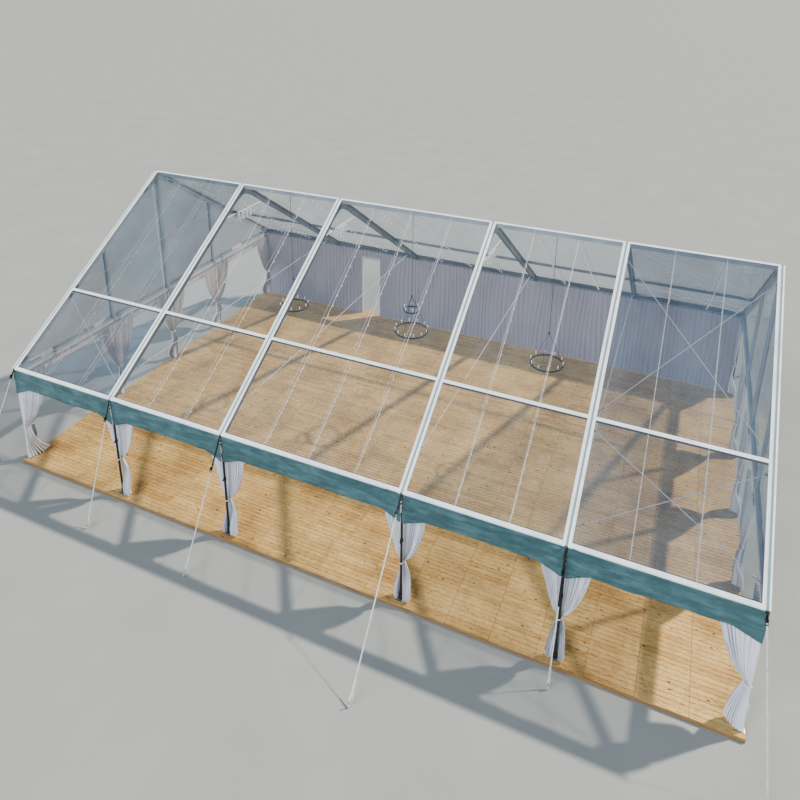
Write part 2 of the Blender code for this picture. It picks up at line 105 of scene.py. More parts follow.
class Finish:
    """A new material, with the nodes that feed its shader."""

    def __init__(self, name, **values):
        self.made = bpy.data.materials.new(name)
        self.made.use_nodes = True
        self.tree = self.made.node_tree
        self.inputs = self.tree.nodes["Principled BSDF"].inputs
        for socket, value in values.items():
            self.inputs[socket.replace("_", " ")].default_value = value
        self.place = self.add("ShaderNodeTexCoord").outputs["Object"]

    def add(self, kind, values=None, links=None, **settings):
        """Adds one node with its settings, its values and its links."""
        made = self.tree.nodes.new(kind)
        for key, value in settings.items():
            setattr(made, key, value)
        for socket, value in (values or {}).items():
            made.inputs[socket].default_value = value
        for socket, source in (links or {}).items():
            self.tree.links.new(source, made.inputs[socket])
        return made

    def scaled(self, scale, place=None):
        links = {"Vector": self.place if place is None else place}
        return self.add("ShaderNodeMapping", {"Scale": scale}, links).outputs["Vector"]

    def cloud(self, vector, scale, detail=3.0, rough=0.55):
        """Noise whose largest spots are 1 / scale metres wide."""
        return self.add("ShaderNodeTexNoise", {"Scale": scale, "Detail": detail, "Roughness": rough},
                        {"Vector": vector}).outputs["Fac"]

    def wave(self, vector, way, scale, distortion, more=None):
        """Bands that lie 0.314 / scale metres apart along an axis, and twice that along a diagonal."""
        return self.add("ShaderNodeTexWave", {"Scale": scale, "Distortion": distortion, **(more or {})},
                        {"Vector": vector}, bands_direction=way).outputs["Fac"]

    def ramp(self, source, stops):
        """A colour ramp from (position, hex) stops."""
        made = self.add("ShaderNodeValToRGB", links={"Fac": source})
        elements = made.color_ramp.elements
        while len(elements) < len(stops):
            elements.new(0.5)
        for element, (position, code) in zip(elements, stops):
            element.position = position
            element.color = linear(code)
        return made.outputs["Color"]

    def grey(self, source, low, high, start=0.0, end=1.0):
        values = {"From Min": start, "From Max": end, "To Min": low, "To Max": high}
        return self.add("ShaderNodeMapRange", values, {"Value": source}).outputs["Result"]

    def total(self, one, two):
        return self.add("ShaderNodeMath", links={0: one, 1: two}, operation="ADD").outputs["Value"]

    def times(self, one, two, share=1.0):
        """One colour multiplied by another, as far as the share says."""
        return self.add("ShaderNodeMix", {0: share}, {6: one, 7: two}, data_type="RGBA",
                        blend_type="MULTIPLY").outputs[2]

    def from_mesh(self, name):
        """A number that the mesh holds at each of its points."""
        return self.add("ShaderNodeAttribute", attribute_name=name, attribute_type="GEOMETRY").outputs["Fac"]

    def tint(self, source, stops):
        self.tree.links.new(self.ramp(source, stops), self.inputs["Base Color"])

    def gloss(self, source, low, high, start=0.0, end=1.0):
        self.tree.links.new(self.grey(source, low, high, start, end), self.inputs["Roughness"])

    def bump(self, height, distance, strength=1.0, under=None):
        """Bumps the surface by a height, on top of a deeper bump's normal where there is one."""
        links = {"Height": height} if under is None else {"Height": height, "Normal": under}
        made = self.add("ShaderNodeBump", {"Strength": strength, "Distance": distance}, links)
        self.tree.links.new(made.outputs["Normal"], self.inputs["Normal"])


def powder_coated_aluminium(name, *codes):
    """Extruded aluminium, powder coated: satin, with a fine orange peel and rubbed patches."""
    skin = Finish(name, Metallic=0.0, IOR=1.5, Coat_Weight=0.15, Coat_Roughness=0.3)
    rubs = skin.cloud(skin.place, 1.3, 5.0, 0.65)
    skin.tint(rubs, tuple(zip((0.3, 0.62, 0.8), codes)))
    skin.gloss(rubs, 0.34, 0.55)
    skin.bump(skin.cloud(skin.place, 420.0, 2.0), 0.0004, 0.3)  # 2.4 mm peel
    return skin.made


def clear_pvc_film(name, alpha, dark, pale):
    """Press-polished clear PVC film, 0.5 mm: glossy, faintly blue, with slack ripples in its gloss."""
    # The IOR stands for the gloss of both faces of the film, because the low alpha scales it down.
    skin = Finish(name, Alpha=alpha, IOR=1.9, Specular_IOR_Level=1.0, Coat_Weight=1.0, Coat_Roughness=0.03)
    haze = skin.cloud(skin.scaled((1.0, 0.35, 0.35)), 0.9, 3.0, 0.6)
    skin.tint(haze, ((0.3, dark), (0.7, pale)))
    skin.gloss(haze, 0.06, 0.2, 0.3, 0.7)
    skin.bump(skin.cloud(skin.scaled((3.2, 0.6, 0.6)), 1.0, 2.0, 0.45), 0.05, 0.35)
    return skin.made


def coated_vinyl(name, stops, rough=0.42, creased=0.0):
    """Polyester scrim coated in PVC: soft gloss, the threads' grid showing faintly, a little dirt."""
    skin = Finish(name, IOR=1.52, Sheen_Weight=0.05)
    shade = dirt = skin.cloud(skin.place, 1.7, 5.0, 0.62)
    deep = None
    if creased:
        # Slack folds 0.13 m apart run along the cloth and droop across it; their backs are painted paler as a
        # painted highlight and their hollows darker as painted shade.
        tilted = skin.add("ShaderNodeMapping", {"Rotation": (0.0, 0.42, 0.0), "Scale": (1.3, 1.3, 6.0)},
                          {"Vector": skin.place}).outputs["Vector"]
        folds = skin.cloud(tilted, 1.3, 2.0, 0.5)
        shade = skin.total(dirt, skin.grey(folds, -0.12, 0.12, 0.36, 0.64))
        deep = skin.add("ShaderNodeBump", {"Strength": 0.8, "Distance": creased},
                        {"Height": folds}).outputs["Normal"]
    skin.tint(shade, stops)
    skin.gloss(dirt, rough - 0.06, rough + 0.12)
    # The real scrim has a thread each millimetre; a grid of 37 mm is drawn so that it shows.
    threads = [skin.wave(skin.place, way, 0.32 / (2 * math.pi * 0.006), 0.4) for way in ("X", "Z")]
    skin.bump(skin.total(*threads), 0.0006, 0.25, deep)
    return skin.made


def galvanised_steel(name="galvanised_steel", stops=((0.3, "8B9097"), (0.7, "B9BEC5")), rough=0.36):
    """Hot-dip galvanised steel: a dull bright metal with the zinc's grown crystals, 11 mm wide."""
    skin = Finish(name, Metallic=1.0)
    cells = skin.add("ShaderNodeTexVoronoi", {"Scale": 90.0}, {"Vector": skin.place}).outputs["Color"]
    tone = skin.add("ShaderNodeSeparateColor", links={"Color": cells}).outputs[0]
    skin.tint(tone, stops)
    skin.gloss(tone, rough - 0.08, rough + 0.12)
    return skin.made


def wire_rope():
    """Wire rope in a clear sheath: the strands' spiral shows through, pale grey and glossy."""
    skin = Finish("sheathed_wire_rope", Metallic=0.0, IOR=1.5, Coat_Weight=0.6, Coat_Roughness=0.1)
    # The lay of a 10 mm rope is 60 mm, and a stripe each 39 mm stands for its strands.
    lay = skin.wave(skin.place, "DIAGONAL", 16.0, 1.0)
    skin.tint(lay, ((0.2, "CDD3D9"), (0.8, "FAFCFD")))
    skin.gloss(lay, 0.3, 0.5)
    skin.bump(lay, 0.001, 0.6)
    return skin.made


def polyester_webbing(name, stops):
    """Woven polyester webbing: ribbed across, matt, scuffed paler at places."""
    skin = Finish(name, Roughness=0.78, Sheen_Weight=0.3, IOR=1.5)
    skin.tint(skin.cloud(skin.place, 9.0, 5.0, 0.6), stops)
    skin.bump(skin.wave(skin.place, "Z", 40.0, 0.2), 0.0006, 0.6)  # 8 mm ribs, wider than the real 2 mm
    return skin.made


def pine_boards():
    """Planed pine: pale tan boards, each with its own tone, long grain, a few knots and stains."""
    skin = Finish("planed_pine", IOR=1.5)
    tone = skin.from_mesh("board_tone")
    # Each board's grain starts at a place of its own.
    shift = skin.add("ShaderNodeCombineXYZ", links={
        socket: skin.add("ShaderNodeMath", {1: by}, {0: tone}, operation="MULTIPLY").outputs["Value"]
        for socket, by in (("X", 37.0), ("Y", 11.0))})
    own = skin.add("ShaderNodeVectorMath", links={0: skin.place, 1: shift.outputs["Vector"]},
                   operation="ADD").outputs["Vector"]
    # Growth rings cut along the board: 12 mm apart across it, metres long.
    grain = skin.wave(skin.scaled((0.16, 2.4, 2.4), own), "Y", 11.0, 3.2, {"Detail": 3.0, "Detail Scale": 0.9})
    spots = skin.add("ShaderNodeTexVoronoi", {"Scale": 2.6}, {"Vector": skin.scaled((0.8, 1.6, 0.0), own)})
    fine = skin.cloud(skin.scaled((3.2, 26.0, 26.0), own), 2.0, 3.0, 0.62)
    wood = skin.ramp(grain, ((0.0, "B9965C"), (0.5, "D7B67A"), (1.0, "ECD5A1")))
    for source, stops, share in (
        (tone, ((0.0, "E2D6C4"), (0.3, "F6F0E6"), (0.75, "FFFFFF"), (1.0, "F4EAD8")), 1.0),
        (skin.cloud(skin.place, 0.55, 4.0, 0.6), ((0.3, "CDBFAE"), (0.6, "FFFFFF")), 0.8),
        (spots.outputs["Distance"], ((0.0, "3E2A17"), (0.07, "8A6238"), (0.11, "FFFFFF")), 1.0),
        (fine, ((0.33, "9C7A50"), (0.47, "FFFFFF")), 0.75),  # brown flecks along the grain, a hand long
    ):
        wood = skin.times(wood, skin.ramp(source, stops), share)
    skin.tree.links.new(wood, skin.inputs["Base Color"])
    skin.gloss(grain, 0.72, 0.58)
    skin.bump(grain, 0.0012, 0.4)
    return skin.made


def sawn_pine():
    """Sawn framing timber under the deck: browner and rougher than the boards."""
    skin = Finish("sawn_pine", Roughness=0.85)
    grain = skin.cloud(skin.scaled((0.6, 0.6, 14.0)), 3.0, 5.0, 0.6)
    skin.tint(grain, ((0.3, "8C6B45"), (0.7, "BE9868")))
    skin.bump(grain, 0.002, 0.5)
    return skin.made


def voile(name, stops, valley_shaded=True):
    """Sheer polyester voile: in pleated use, each pleat's valley is painted darker than its ridge, as painted
    shade.
    """
    skin = Finish(name, Roughness=0.82, Sheen_Weight=0.35, Sheen_Roughness=0.5, IOR=1.46)
    shade = skin.cloud(skin.scaled((6.0, 6.0, 0.5)), 1.6, 3.0, 0.5)
    if valley_shaded:
        # Painted shade from the mesh: darker in the pleats' valleys.
        shade = skin.total(skin.from_mesh("pleat"), skin.grey(shade, -0.12, 0.12, 0.3, 0.7))
    skin.tint(shade, stops)
    # Threads of 0.4 mm can't show; creases 14 mm apart stand for the crushed yarn.
    skin.bump(skin.cloud(skin.scaled((18.0, 18.0, 2.0)), 4.0, 3.0, 0.6), 0.003, 0.35)
    return skin.made


def moulded(name, code, rough=0.45, glow=0.0, **values):
    """Moulded plastic, enamel or glass: one even colour, with fine handling marks in its gloss only."""
    skin = Finish(name, IOR=1.5, Base_Color=linear(code), **values)
    skin.gloss(skin.cloud(skin.place, 25.0, 3.0), rough - 0.1, rough + 0.1)
    if glow:
        skin.inputs["Emission Color"].default_value = linear(code)
        skin.inputs["Emission Strength"].default_value = glow
    return skin.made


# One powder coat in three tones of painted light: pale for the sunlit end frames, charcoal for the poles in
# shade, grey for the rest.
FRAME_COAT = powder_coated_aluminium("grey_coated_aluminium", "484C53", "5A5E66", "767B83")
POLES_SHADED_COAT = powder_coated_aluminium("shaded_coated_aluminium", "202226", "2C2F34", "43474D")
ENDS_SUNLIT_COAT = powder_coated_aluminium("sunlit_coated_aluminium", "9EA4AC", "B8BEC6", "CCD1D8")
FILM = clear_pvc_film("clear_pvc_film", 0.19, "587B92", "98B2C4")
# The end bays' and gables' film is a darker, more opaque copy of the film, as painted shade.
SHADED_FILM = clear_pvc_film("shaded_end_pvc_film", 0.45, "2E4B64", "62819A")
WELD = moulded("welded_film_seam", "D5DEE6", 0.25, Alpha=0.3)
WHITE_VINYL = coated_vinyl("white_pvc_hem", ((0.25, "DFE6EA"), (0.6, "FAFCFD")))
TEAL_VINYL = coated_vinyl("teal_pvc_valance", ((0.2, "3D5E64"), (0.5, "507479"), (0.85, "6D9298")), 0.34, 0.06)
LINING = coated_vinyl("white_pvc_lining", ((0.25, "DADAE4"), (0.6, "F2F2F8")), 0.5)
ZINC = galvanised_steel()
STAKE_STEEL = galvanised_steel("weathered_stake_steel", ((0.3, "4A4642"), (0.7, "77726B")), 0.5)
ROPE = wire_rope()
PALE_WEBBING = polyester_webbing("pale_polyester_webbing", ((0.3, "CFCEC6"), (0.65, "F2F1EA")))
BLACK_WEBBING = polyester_webbing("black_polyester_webbing", ((0.3, "17181A"), (0.7, "2C2D31")))
PLANED_PINE = pine_boards()
SAWN_PINE = sawn_pine()
# The gathered voile's darker stops colour the pleats' valleys as painted shade.
VOILE = voile("gathered_voile", ((0.05, "B4B4C4"), (0.35, "E6E6EE"), (0.7, "FCFCFE")))
FLAT_VOILE = voile("flat_voile", ((0.3, "DCDCE6"), (0.7, "F8F8FC")), False)
# The rear drape's voile is a darker copy of the voile, as painted shade, and its pleats carry painted shade too.
SHADED_REAR_VOILE = voile("shaded_rear_voile", ((0.05, "9D9AA9"), (0.9, "AEABB9")))
BLACK_ENAMEL = moulded("black_enamelled_steel", "15161A", 0.4)
WHITE_ENAMEL = moulded("white_enamelled_steel", "F4F6F8", 0.3)
RAIL = moulded("keder_rail_cap", "8FA6AA", 0.35)
OPAL_GLASS = moulded("opal_bulb_glass", "FBFAF6", 0.2, 0.3)
CABLE_PVC = moulded("white_cable_pvc", "F1F3F5", 0.5)


# Makers

def paint(verts, finish):
    if finish:
        for face in {face for vert in verts for face in vert.link_faces}:
            face.material_index = finish


def rod(bm, start, end, radius, sides=12, radius_end=None, finish=0):
    """A round bar or cone from one point to another."""
    start, end = Vector(start), Vector(end)
    axis = end - start
    place = Matrix.Translation((start + end) / 2) @ axis.to_track_quat("Z", "Y").to_matrix().to_4x4()
    made = bmesh.ops.create_cone(bm, cap_ends=True, cap_tris=False, segments=sides, radius1=radius,
                                 radius2=radius if radius_end is None else radius_end, depth=axis.length,
                                 matrix=place)
    paint(made["verts"], finish)


def upright(bm, x, y, low, high, radius, sides=12, radius_end=None, finish=0):
    rod(bm, (x, y, low), (x, y, high), radius, sides, radius_end, finish=finish)


def block(bm, centre, size, turn=None, ease_by=0.003, steps=2, finish=0):
    """A block with eased edges, turned by a matrix about its centre."""
    place = Matrix.Translation(centre) @ (turn or Matrix.Identity(4)) @ Matrix.Diagonal((*size, 1.0))
    made = bmesh.ops.create_cube(bm, size=1.0, matrix=place)
    paint(made["verts"], finish)
    edges = list({edge for vert in made["verts"] for edge in vert.link_edges})
    bmesh.ops.bevel(bm, geom=edges, offset=ease_by, offset_type="OFFSET", affect="EDGES", segments=steps,
                    profile=0.5, material=-1)


def ball(bm, centre, radius, across=8, up=6, finish=0, stretch=1.0):
    place = Matrix.Translation(centre) @ Matrix.Diagonal((radius, radius, radius * stretch, 1.0))
    made = bmesh.ops.create_uvsphere(bm, u_segments=across, v_segments=up, radius=1.0, matrix=place)
    paint(made["verts"], finish)


def bolt(bm, base, axis, across=0.018, high=0.008, finish=1):
    """A hexagon bolt head on its washer."""
    base, axis = Vector(base), Vector(axis).normalized()
    rod(bm, base, base + axis * 0.002, across * 0.85, 16, finish=finish)
    rod(bm, base + axis * 0.002, base + axis * (0.002 + high), across / 2, 6, finish=finish)


def swept(bm, points, radius, sides=8, finish=0, closed=False):
    """A round cord swept along points."""
    curve = bpy.data.curves.new("path", "CURVE")
    curve.dimensions = "3D"
    curve.bevel_depth = radius
    curve.bevel_resolution = max(0, (sides - 4) // 2)
    curve.use_fill_caps = not closed
    spline = curve.splines.new("POLY")
    spline.points.add(len(points) - 1)
    for target, point in zip(spline.points, points):
        target.co = (*point, 1.0)
    spline.use_cyclic_u = closed
    holder = bpy.data.objects.new("path", curve)
    mesh = bpy.data.meshes.new_from_object(holder)
    first = len(bm.faces)
    bm.from_mesh(mesh)
    bm.faces.ensure_lookup_table()
    for face in bm.faces[first:]:
        face.material_index = finish
    bpy.data.objects.remove(holder)
    bpy.data.curves.remove(curve)
    bpy.data.meshes.remove(mesh)


def circle(centre, radius, count, axis_one=Vector((1, 0, 0)), axis_two=Vector((0, 1, 0))):
    turns = [2 * math.pi * step / count for step in range(count)]
    return [Vector(centre) + axis_one * radius * math.cos(t) + axis_two * radius * math.sin(t) for t in turns]


def join(bm, other):
    """Moves the faces of another bmesh into this one."""
    mesh = bpy.data.meshes.new("join")
    other.to_mesh(mesh)
    other.free()
    bm.from_mesh(mesh)
    bpy.data.meshes.remove(mesh)


def cloth(columns, rows, place, valley_shade_at=None):
    """A grid of cloth, each point put by place(across, down), both from 0 to 1.

    valley_shade_at(across, down) gives each point a painted pleat shade, from 0, dark in the valley, to 1, light
    on the ridge.
    """
    bm = bmesh.new()
    bm.loops.layers.uv.new("UVMap")
    pleat = bm.verts.layers.float.new("pleat") if valley_shade_at else None
    bmesh.ops.create_grid(bm, x_segments=columns, y_segments=rows, size=0.5, calc_uvs=True)
    for vert in bm.verts:
        across, down = vert.co.x + 0.5, 0.5 - vert.co.y
        if valley_shade_at:
            vert[pleat] = valley_shade_at(across, down)
        vert.co = place(across, down)
    return bm


def face_towards(bm, direction):
    """Turns an open sheet so that its faces look one way."""
    bm.normal_update()
    if sum(face.normal.dot(direction) * face.calc_area() for face in bm.faces) < 0:
        bmesh.ops.reverse_faces(bm, faces=bm.faces[:])
    return bm


def thicken(bm, thickness):
    """Gives an open sheet its thickness, away from the side that it faces."""
    bm.normal_update()
    bmesh.ops.solidify(bm, geom=bm.faces[:], thickness=thickness)
    return bm


def join_sheet(bm, columns, rows, place, outward, thickness=0.0, finish=0):
    """Adds a sheet of cloth, facing one way, to a piece."""
    made = face_towards(cloth(columns, rows, place), outward)
    if thickness:
        thicken(made, thickness)
    for face in made.faces:
        face.material_index = finish
    join(bm, made)


def make(name, bm, finishes, slot, *nodes, smooth_angle=40.0):
    """Turns a bmesh into a finished piece in its place, on the tent's one body."""
    mesh = bpy.data.meshes.new(name)
    bm.to_mesh(mesh)
    bm.free()
    for finish in finishes:
        mesh.materials.append(finish)
    mesh.polygons.foreach_set("use_smooth", [True] * len(mesh.polygons))
    mesh.set_sharp_from_angle(angle=math.radians(smooth_angle))
    piece = bpy.data.objects.new(name, mesh)
    scene.collection.objects.link(piece)
    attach(piece, "root")
    if nodes:
        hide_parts(*nodes)
    return piece


# Camera, light and floor

CAMERA_PLACE = Vector((8.611, -21.052, 16.493))
CAMERA_AZIMUTH = math.radians(-23.429)
CAMERA_DROP = math.radians(18.126)
CAMERA_ROLL = math.radians(0.673)
CAMERA_LENS = 31.197
CAMERA_SHIFT = -0.2493


def set_camera():
    az, drop, roll = CAMERA_AZIMUTH, CAMERA_DROP, CAMERA_ROLL
    ahead = Vector((math.sin(az) * math.cos(drop), math.cos(az) * math.cos(drop), -math.sin(drop)))
    right = Vector((math.cos(az), -math.sin(az), 0.0))
    up = right.cross(ahead)
    across = right * math.cos(roll) + up * math.sin(roll)
    above = up * math.cos(roll) - right * math.sin(roll)
    data = bpy.data.cameras.new("camera")
    data.lens = CAMERA_LENS
    data.sensor_width = 36.0
    data.shift_y = CAMERA_SHIFT
    data.clip_end = 2000.0
    camera = bpy.data.objects.new("camera", data)
    turn = Matrix((across, above, -ahead)).transposed().to_4x4()
    camera.matrix_world = Matrix.Translation(CAMERA_PLACE) @ turn
    scene.collection.objects.link(camera)
    scene.camera = camera


def set_lights():
    world = bpy.data.worlds.new("studio")
    world.use_nodes = True
    back = world.node_tree.nodes["Background"]
    back.inputs["Color"].default_value = linear("C9D3E0")
    back.inputs["Strength"].default_value = 0.5
    scene.world = world
    scene.view_settings.look = "AgX - Medium High Contrast"
    # The photo's shadows fall towards the lower left, so the key stands behind the right end.
    for name, towards, strength, soft, code in (
        ("key", (-0.50, -0.42, -0.76), 4.2, 2.0, "FFF5E4"),
        ("fill", (0.30, 0.76, -0.56), 2.2, 36.0, "E4ECF6"),
    ):
        data = bpy.data.lights.new(name, "SUN")
        data.energy = strength
        data.angle = math.radians(soft)
        data.color = linear(code)[:3]
        lamp = bpy.data.objects.new(name, data)
        lamp.rotation_euler = Vector(towards).to_track_quat("-Z", "Y").to_euler()
        scene.collection.objects.link(lamp)


def lay_floor():
    bm = bmesh.new()
    bmesh.ops.create_circle(bm, cap_ends=True, segments=96, radius=900.0)
    mesh = bpy.data.meshes.new("studio_floor")
    bm.to_mesh(mesh)
    bm.free()
    skin = Finish("pale_studio_floor", Roughness=0.9)
    skin.tint(skin.cloud(skin.place, 0.4, 2.0), ((0.2, "999D9B"), (0.8, "A1A4A2")))
    mesh.materials.append(skin.made)
    floor = bpy.data.objects.new("studio_floor", mesh)
    floor.location.z = -0.002
    scene.collection.objects.link(floor)


# Deck

BOARD_PITCH = 0.140
BOARD_GAP = 0.011
BOARD_THICKNESS = 0.026
PANEL_LENGTH = 1.2
BEARER_WIDTH = 0.036
BEARER_INSET = 0.022


def lay_deck():
    low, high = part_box("plank_deck")
    rows = round((high.y - low.y) / BOARD_PITCH)
    panels = round((high.x - low.x) / PANEL_LENGTH)
    wide, long = (high.y - low.y) / rows, (high.x - low.x) / panels
    bm = bmesh.new()
    tone = bm.verts.layers.float.new("board_tone")
    for panel in range(panels):
        for row in range(rows):
            drop = dice.uniform(0.0, 0.0012)
            centre = (low.x + (panel + 0.5) * long, low.y + (row + 0.5) * wide,
                      high.z - BOARD_THICKNESS / 2 - drop)
            size = (long - 0.005 - dice.uniform(0, 0.003), wide - BOARD_GAP, BOARD_THICKNESS)
            place = Matrix.Translation(centre) @ Matrix.Diagonal((*size, 1.0))
            made = bmesh.ops.create_cube(bm, size=1.0, matrix=place)
            own = dice.uniform(0.1, 0.9)
            for vert in made["verts"]:
                vert[tone] = own
    top = high.z - BOARD_THICKNESS / 2
    edges = [edge for edge in bm.edges if all(vert.co.z > top for vert in edge.verts)]
    bmesh.ops.bevel(bm, geom=edges, offset=0.0025, offset_type="OFFSET", affect="EDGES", segments=1,
                    profile=0.5, material=-1)
    make("deck_boards", bm, (PLANED_PINE,), "deck_timber", "plank_deck", smooth_angle=30)
    bm = bmesh.new()
    under = high.z - BOARD_THICKNESS - 0.002
    mid, tall, deep = (under + low.z) / 2, under - low.z, high.y - low.y - 0.09
    for end in (low.x + BEARER_INSET, high.x - BEARER_INSET):
        block(bm, (end, 0, mid), (BEARER_WIDTH, deep, tall))
    for edge in (low.y + BEARER_INSET, high.y - BEARER_INSET):
        block(bm, (0, edge, mid), (high.x - low.x - 0.008, BEARER_WIDTH, tall))
    for panel in range(1, panels):
        block(bm, (low.x + panel * long, 0, mid), (0.07, deep, tall))
    make("deck_bearers", bm, (SAWN_PINE,), "deck_timber")


# Frame

POLE_RADIUS = 0.033
POLE_Y = 7.44
PLATE_SIZE = 0.20
PLATE_THICKNESS = 0.012
CLAMP_Z = 2.12
SPLICE_DEPTH = 0.115
# Frame parts given the painted sunlit tone, then those given the painted shaded tone.
SUNLIT_FRAME = ("ridge_beam", "left_gable_frame", "right_gable_frame", "rafter_pair_1", "rafter_pair_6")
SHADED_FRAME = ("front_purlin", "rear_purlin", "front_eave_beam", "rear_eave_beam", "rafter_pair_2",
              "rafter_pair_3", "rafter_pair_4", "rafter_pair_5")


def coat_frame():
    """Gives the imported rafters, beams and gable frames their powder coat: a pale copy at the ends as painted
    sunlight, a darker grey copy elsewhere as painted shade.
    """
    for names, coat in ((SUNLIT_FRAME, ENDS_SUNLIT_COAT), (SHADED_FRAME, FRAME_COAT)):
        for name in names:
            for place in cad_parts[name].material_slots:
                place.material = coat


def stand_columns():
    for side_name, side in SIDES:
        for count, x in enumerate(FRAME_X, 1):
            node = f"{side_name}_column_{count}"
            low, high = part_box(node)
            y = side * POLE_Y
            plate = low.z + PLATE_THICKNESS
            bm = bmesh.new()
            block(bm, (x, y, low.z + PLATE_THICKNESS / 2), (PLATE_SIZE, PLATE_SIZE, PLATE_THICKNESS),
                  ease_by=0.002, finish=1)
            upright(bm, x, y, plate, plate + 0.012, 0.054, 32, POLE_RADIUS)
            for foot, head, radius in ((plate, high.z, POLE_RADIUS), (high.z - 0.24, high.z - 0.004, 0.047),
                                       (plate + 0.06, plate + 0.15, 0.046)):
                upright(bm, x, y, foot, head, radius, 32)
            for sx in (-1, 1):
                for sy in (-1, 1):
                    bolt(bm, (x + sx * 0.075, y + sy * 0.075, plate), UP)
                bolt(bm, (x + sx * 0.046, y, plate + 0.105), (sx, 0, 0))
                bolt(bm, (x + sx * 0.047, y, high.z - 0.12), (sx, 0, 0))
            # A clamp with its turn knob is on the outer side, except under the front corners' cloth.
            if node not in ("front_column_1", "front_column_6"):
                upright(bm, x, y, CLAMP_Z - 0.04, CLAMP_Z + 0.04, 0.044, 32)
                rod(bm, (x, y, CLAMP_Z), (x, y + side * 0.078, CLAMP_Z), 0.011, 12)
                rod(bm, (x, y + side * 0.072, CLAMP_Z), (x, y + side * 0.098, CLAMP_Z), 0.026, 10, 0.022)
            # The poles' charcoal coat is painted shade.
            make(node + "_pole", bm, (POLES_SHADED_COAT, ZINC), "frame_aluminium", node)


def bolt_joints():
    """Splice plates and bolts where rafters meet purlins, columns and the ridge."""
    bm = bmesh.new()
    for _, side in SIDES:
        tilt = Matrix.Rotation(-side * math.atan2(FALL, RUN), 4, "X")
        for x in FRAME_X:
            for face in (-1, 1):
                if abs(x + face * 0.1) > FRAME_X[-1]:
                    continue
                out = x + face * (RAFTER_HALF + 0.0035)
                for place, long in ((PURLIN_PLACE - 0.17, 0.16), (PURLIN_PLACE + 0.17, 0.16),
                                    (SLOPE - 0.42, 0.30), (0.95, 0.30)):
                    block(bm, on_slope(side, out, place, SPLICE_DEPTH), (0.006, long, 0.12), tilt, 0.0015, 1)
                    for step in (-0.3, 0.3):
                        for high in (-0.03, 0.03):
                            at = on_slope(side, out + face * 0.003, place + step * long, SPLICE_DEPTH + high)
                            bolt(bm, at, (face, 0, 0), 0.02)
    make("joint_plates", bm, (FRAME_COAT, ZINC), "frame_aluminium")


# Roof

HEM_INNER = 0.03
HEM_OUTER = 0.106
END_HEM_OUTER = 0.073
EAVE_HEM = 0.105
EAVE_LIP = 0.035
RIDGE_HEM = 0.065
PURLIN_HEM_ABOVE = 0.08
PURLIN_HEM_BELOW = 0.02
WELD_WIDTH = 0.022
SLEEVE_PLANE = 11.3345
SLEEVE_TOP = 3.497
SLEEVE_DEPTH = 0.135
GABLE_POST_Y = 3.1
# The bulb strings hang under the film's welds.
STRING_X = (-9.96, -8.54, -5.71, -4.29, -1.44, 0.0, 1.44, 4.29, 5.71, 8.54, 9.96)


def bay_ends(bay, margin):
    """A bay's two ends along X, each a margin inside the middle of its rafters."""
    return FRAME_X[bay] + margin, FRAME_X[bay + 1] - margin


def film_sag(across, place):
    """How far the film hangs in between its rafters and purlins."""
    part = place / PURLIN_PLACE if place < PURLIN_PLACE else (place - PURLIN_PLACE) / (SLOPE - PURLIN_PLACE)
    return 0.028 * math.sin(math.pi * across) ** 0.8 * math.sin(math.pi * min(1.0, part)) ** 0.8


def stretch_roof():
    for side_name, side in SIDES:
        outward = Vector((0, side * FALL, RUN))
        for bay in range(5):
            left, right = bay_ends(bay, HEM_INNER)

            def place_film(across, down):
                place = down * SLOPE
                ripple = 0.004 * noise.noise(Vector((across * 6 + bay * 9, down * 4, side * 3.0)))
                edge = math.sin(math.pi * across)
                depth = FILM_DEPTH + film_sag(across, place) + ripple * edge * math.sin(math.pi * down)
                return on_slope(side, blend(left, right, across), place, max(0.003, depth))

            bm = face_towards(cloth(28, 56, place_film), outward)
            film = make(f"{side_name}_roof_film_{bay + 1}", bm, (SHADED_FILM if bay in (0, 4) else FILM,),
                        "clear_vinyl", f"{side_name}_roof_skin", smooth_angle=80)
        hem_roof(side_name, side, outward)


def slope_strip(bm, side, ends, places, depth, thickness, columns=2, rows=24, finish=0):
    """Adds a flat strip of hem on one slope, between two ends along X and two places down the slope."""
    def place(across, down):
        return on_slope(side, blend(*ends, across), blend(*places, down), depth)
    join_sheet(bm, columns, rows, place, Vector((0, side * FALL, RUN)), thickness, finish)


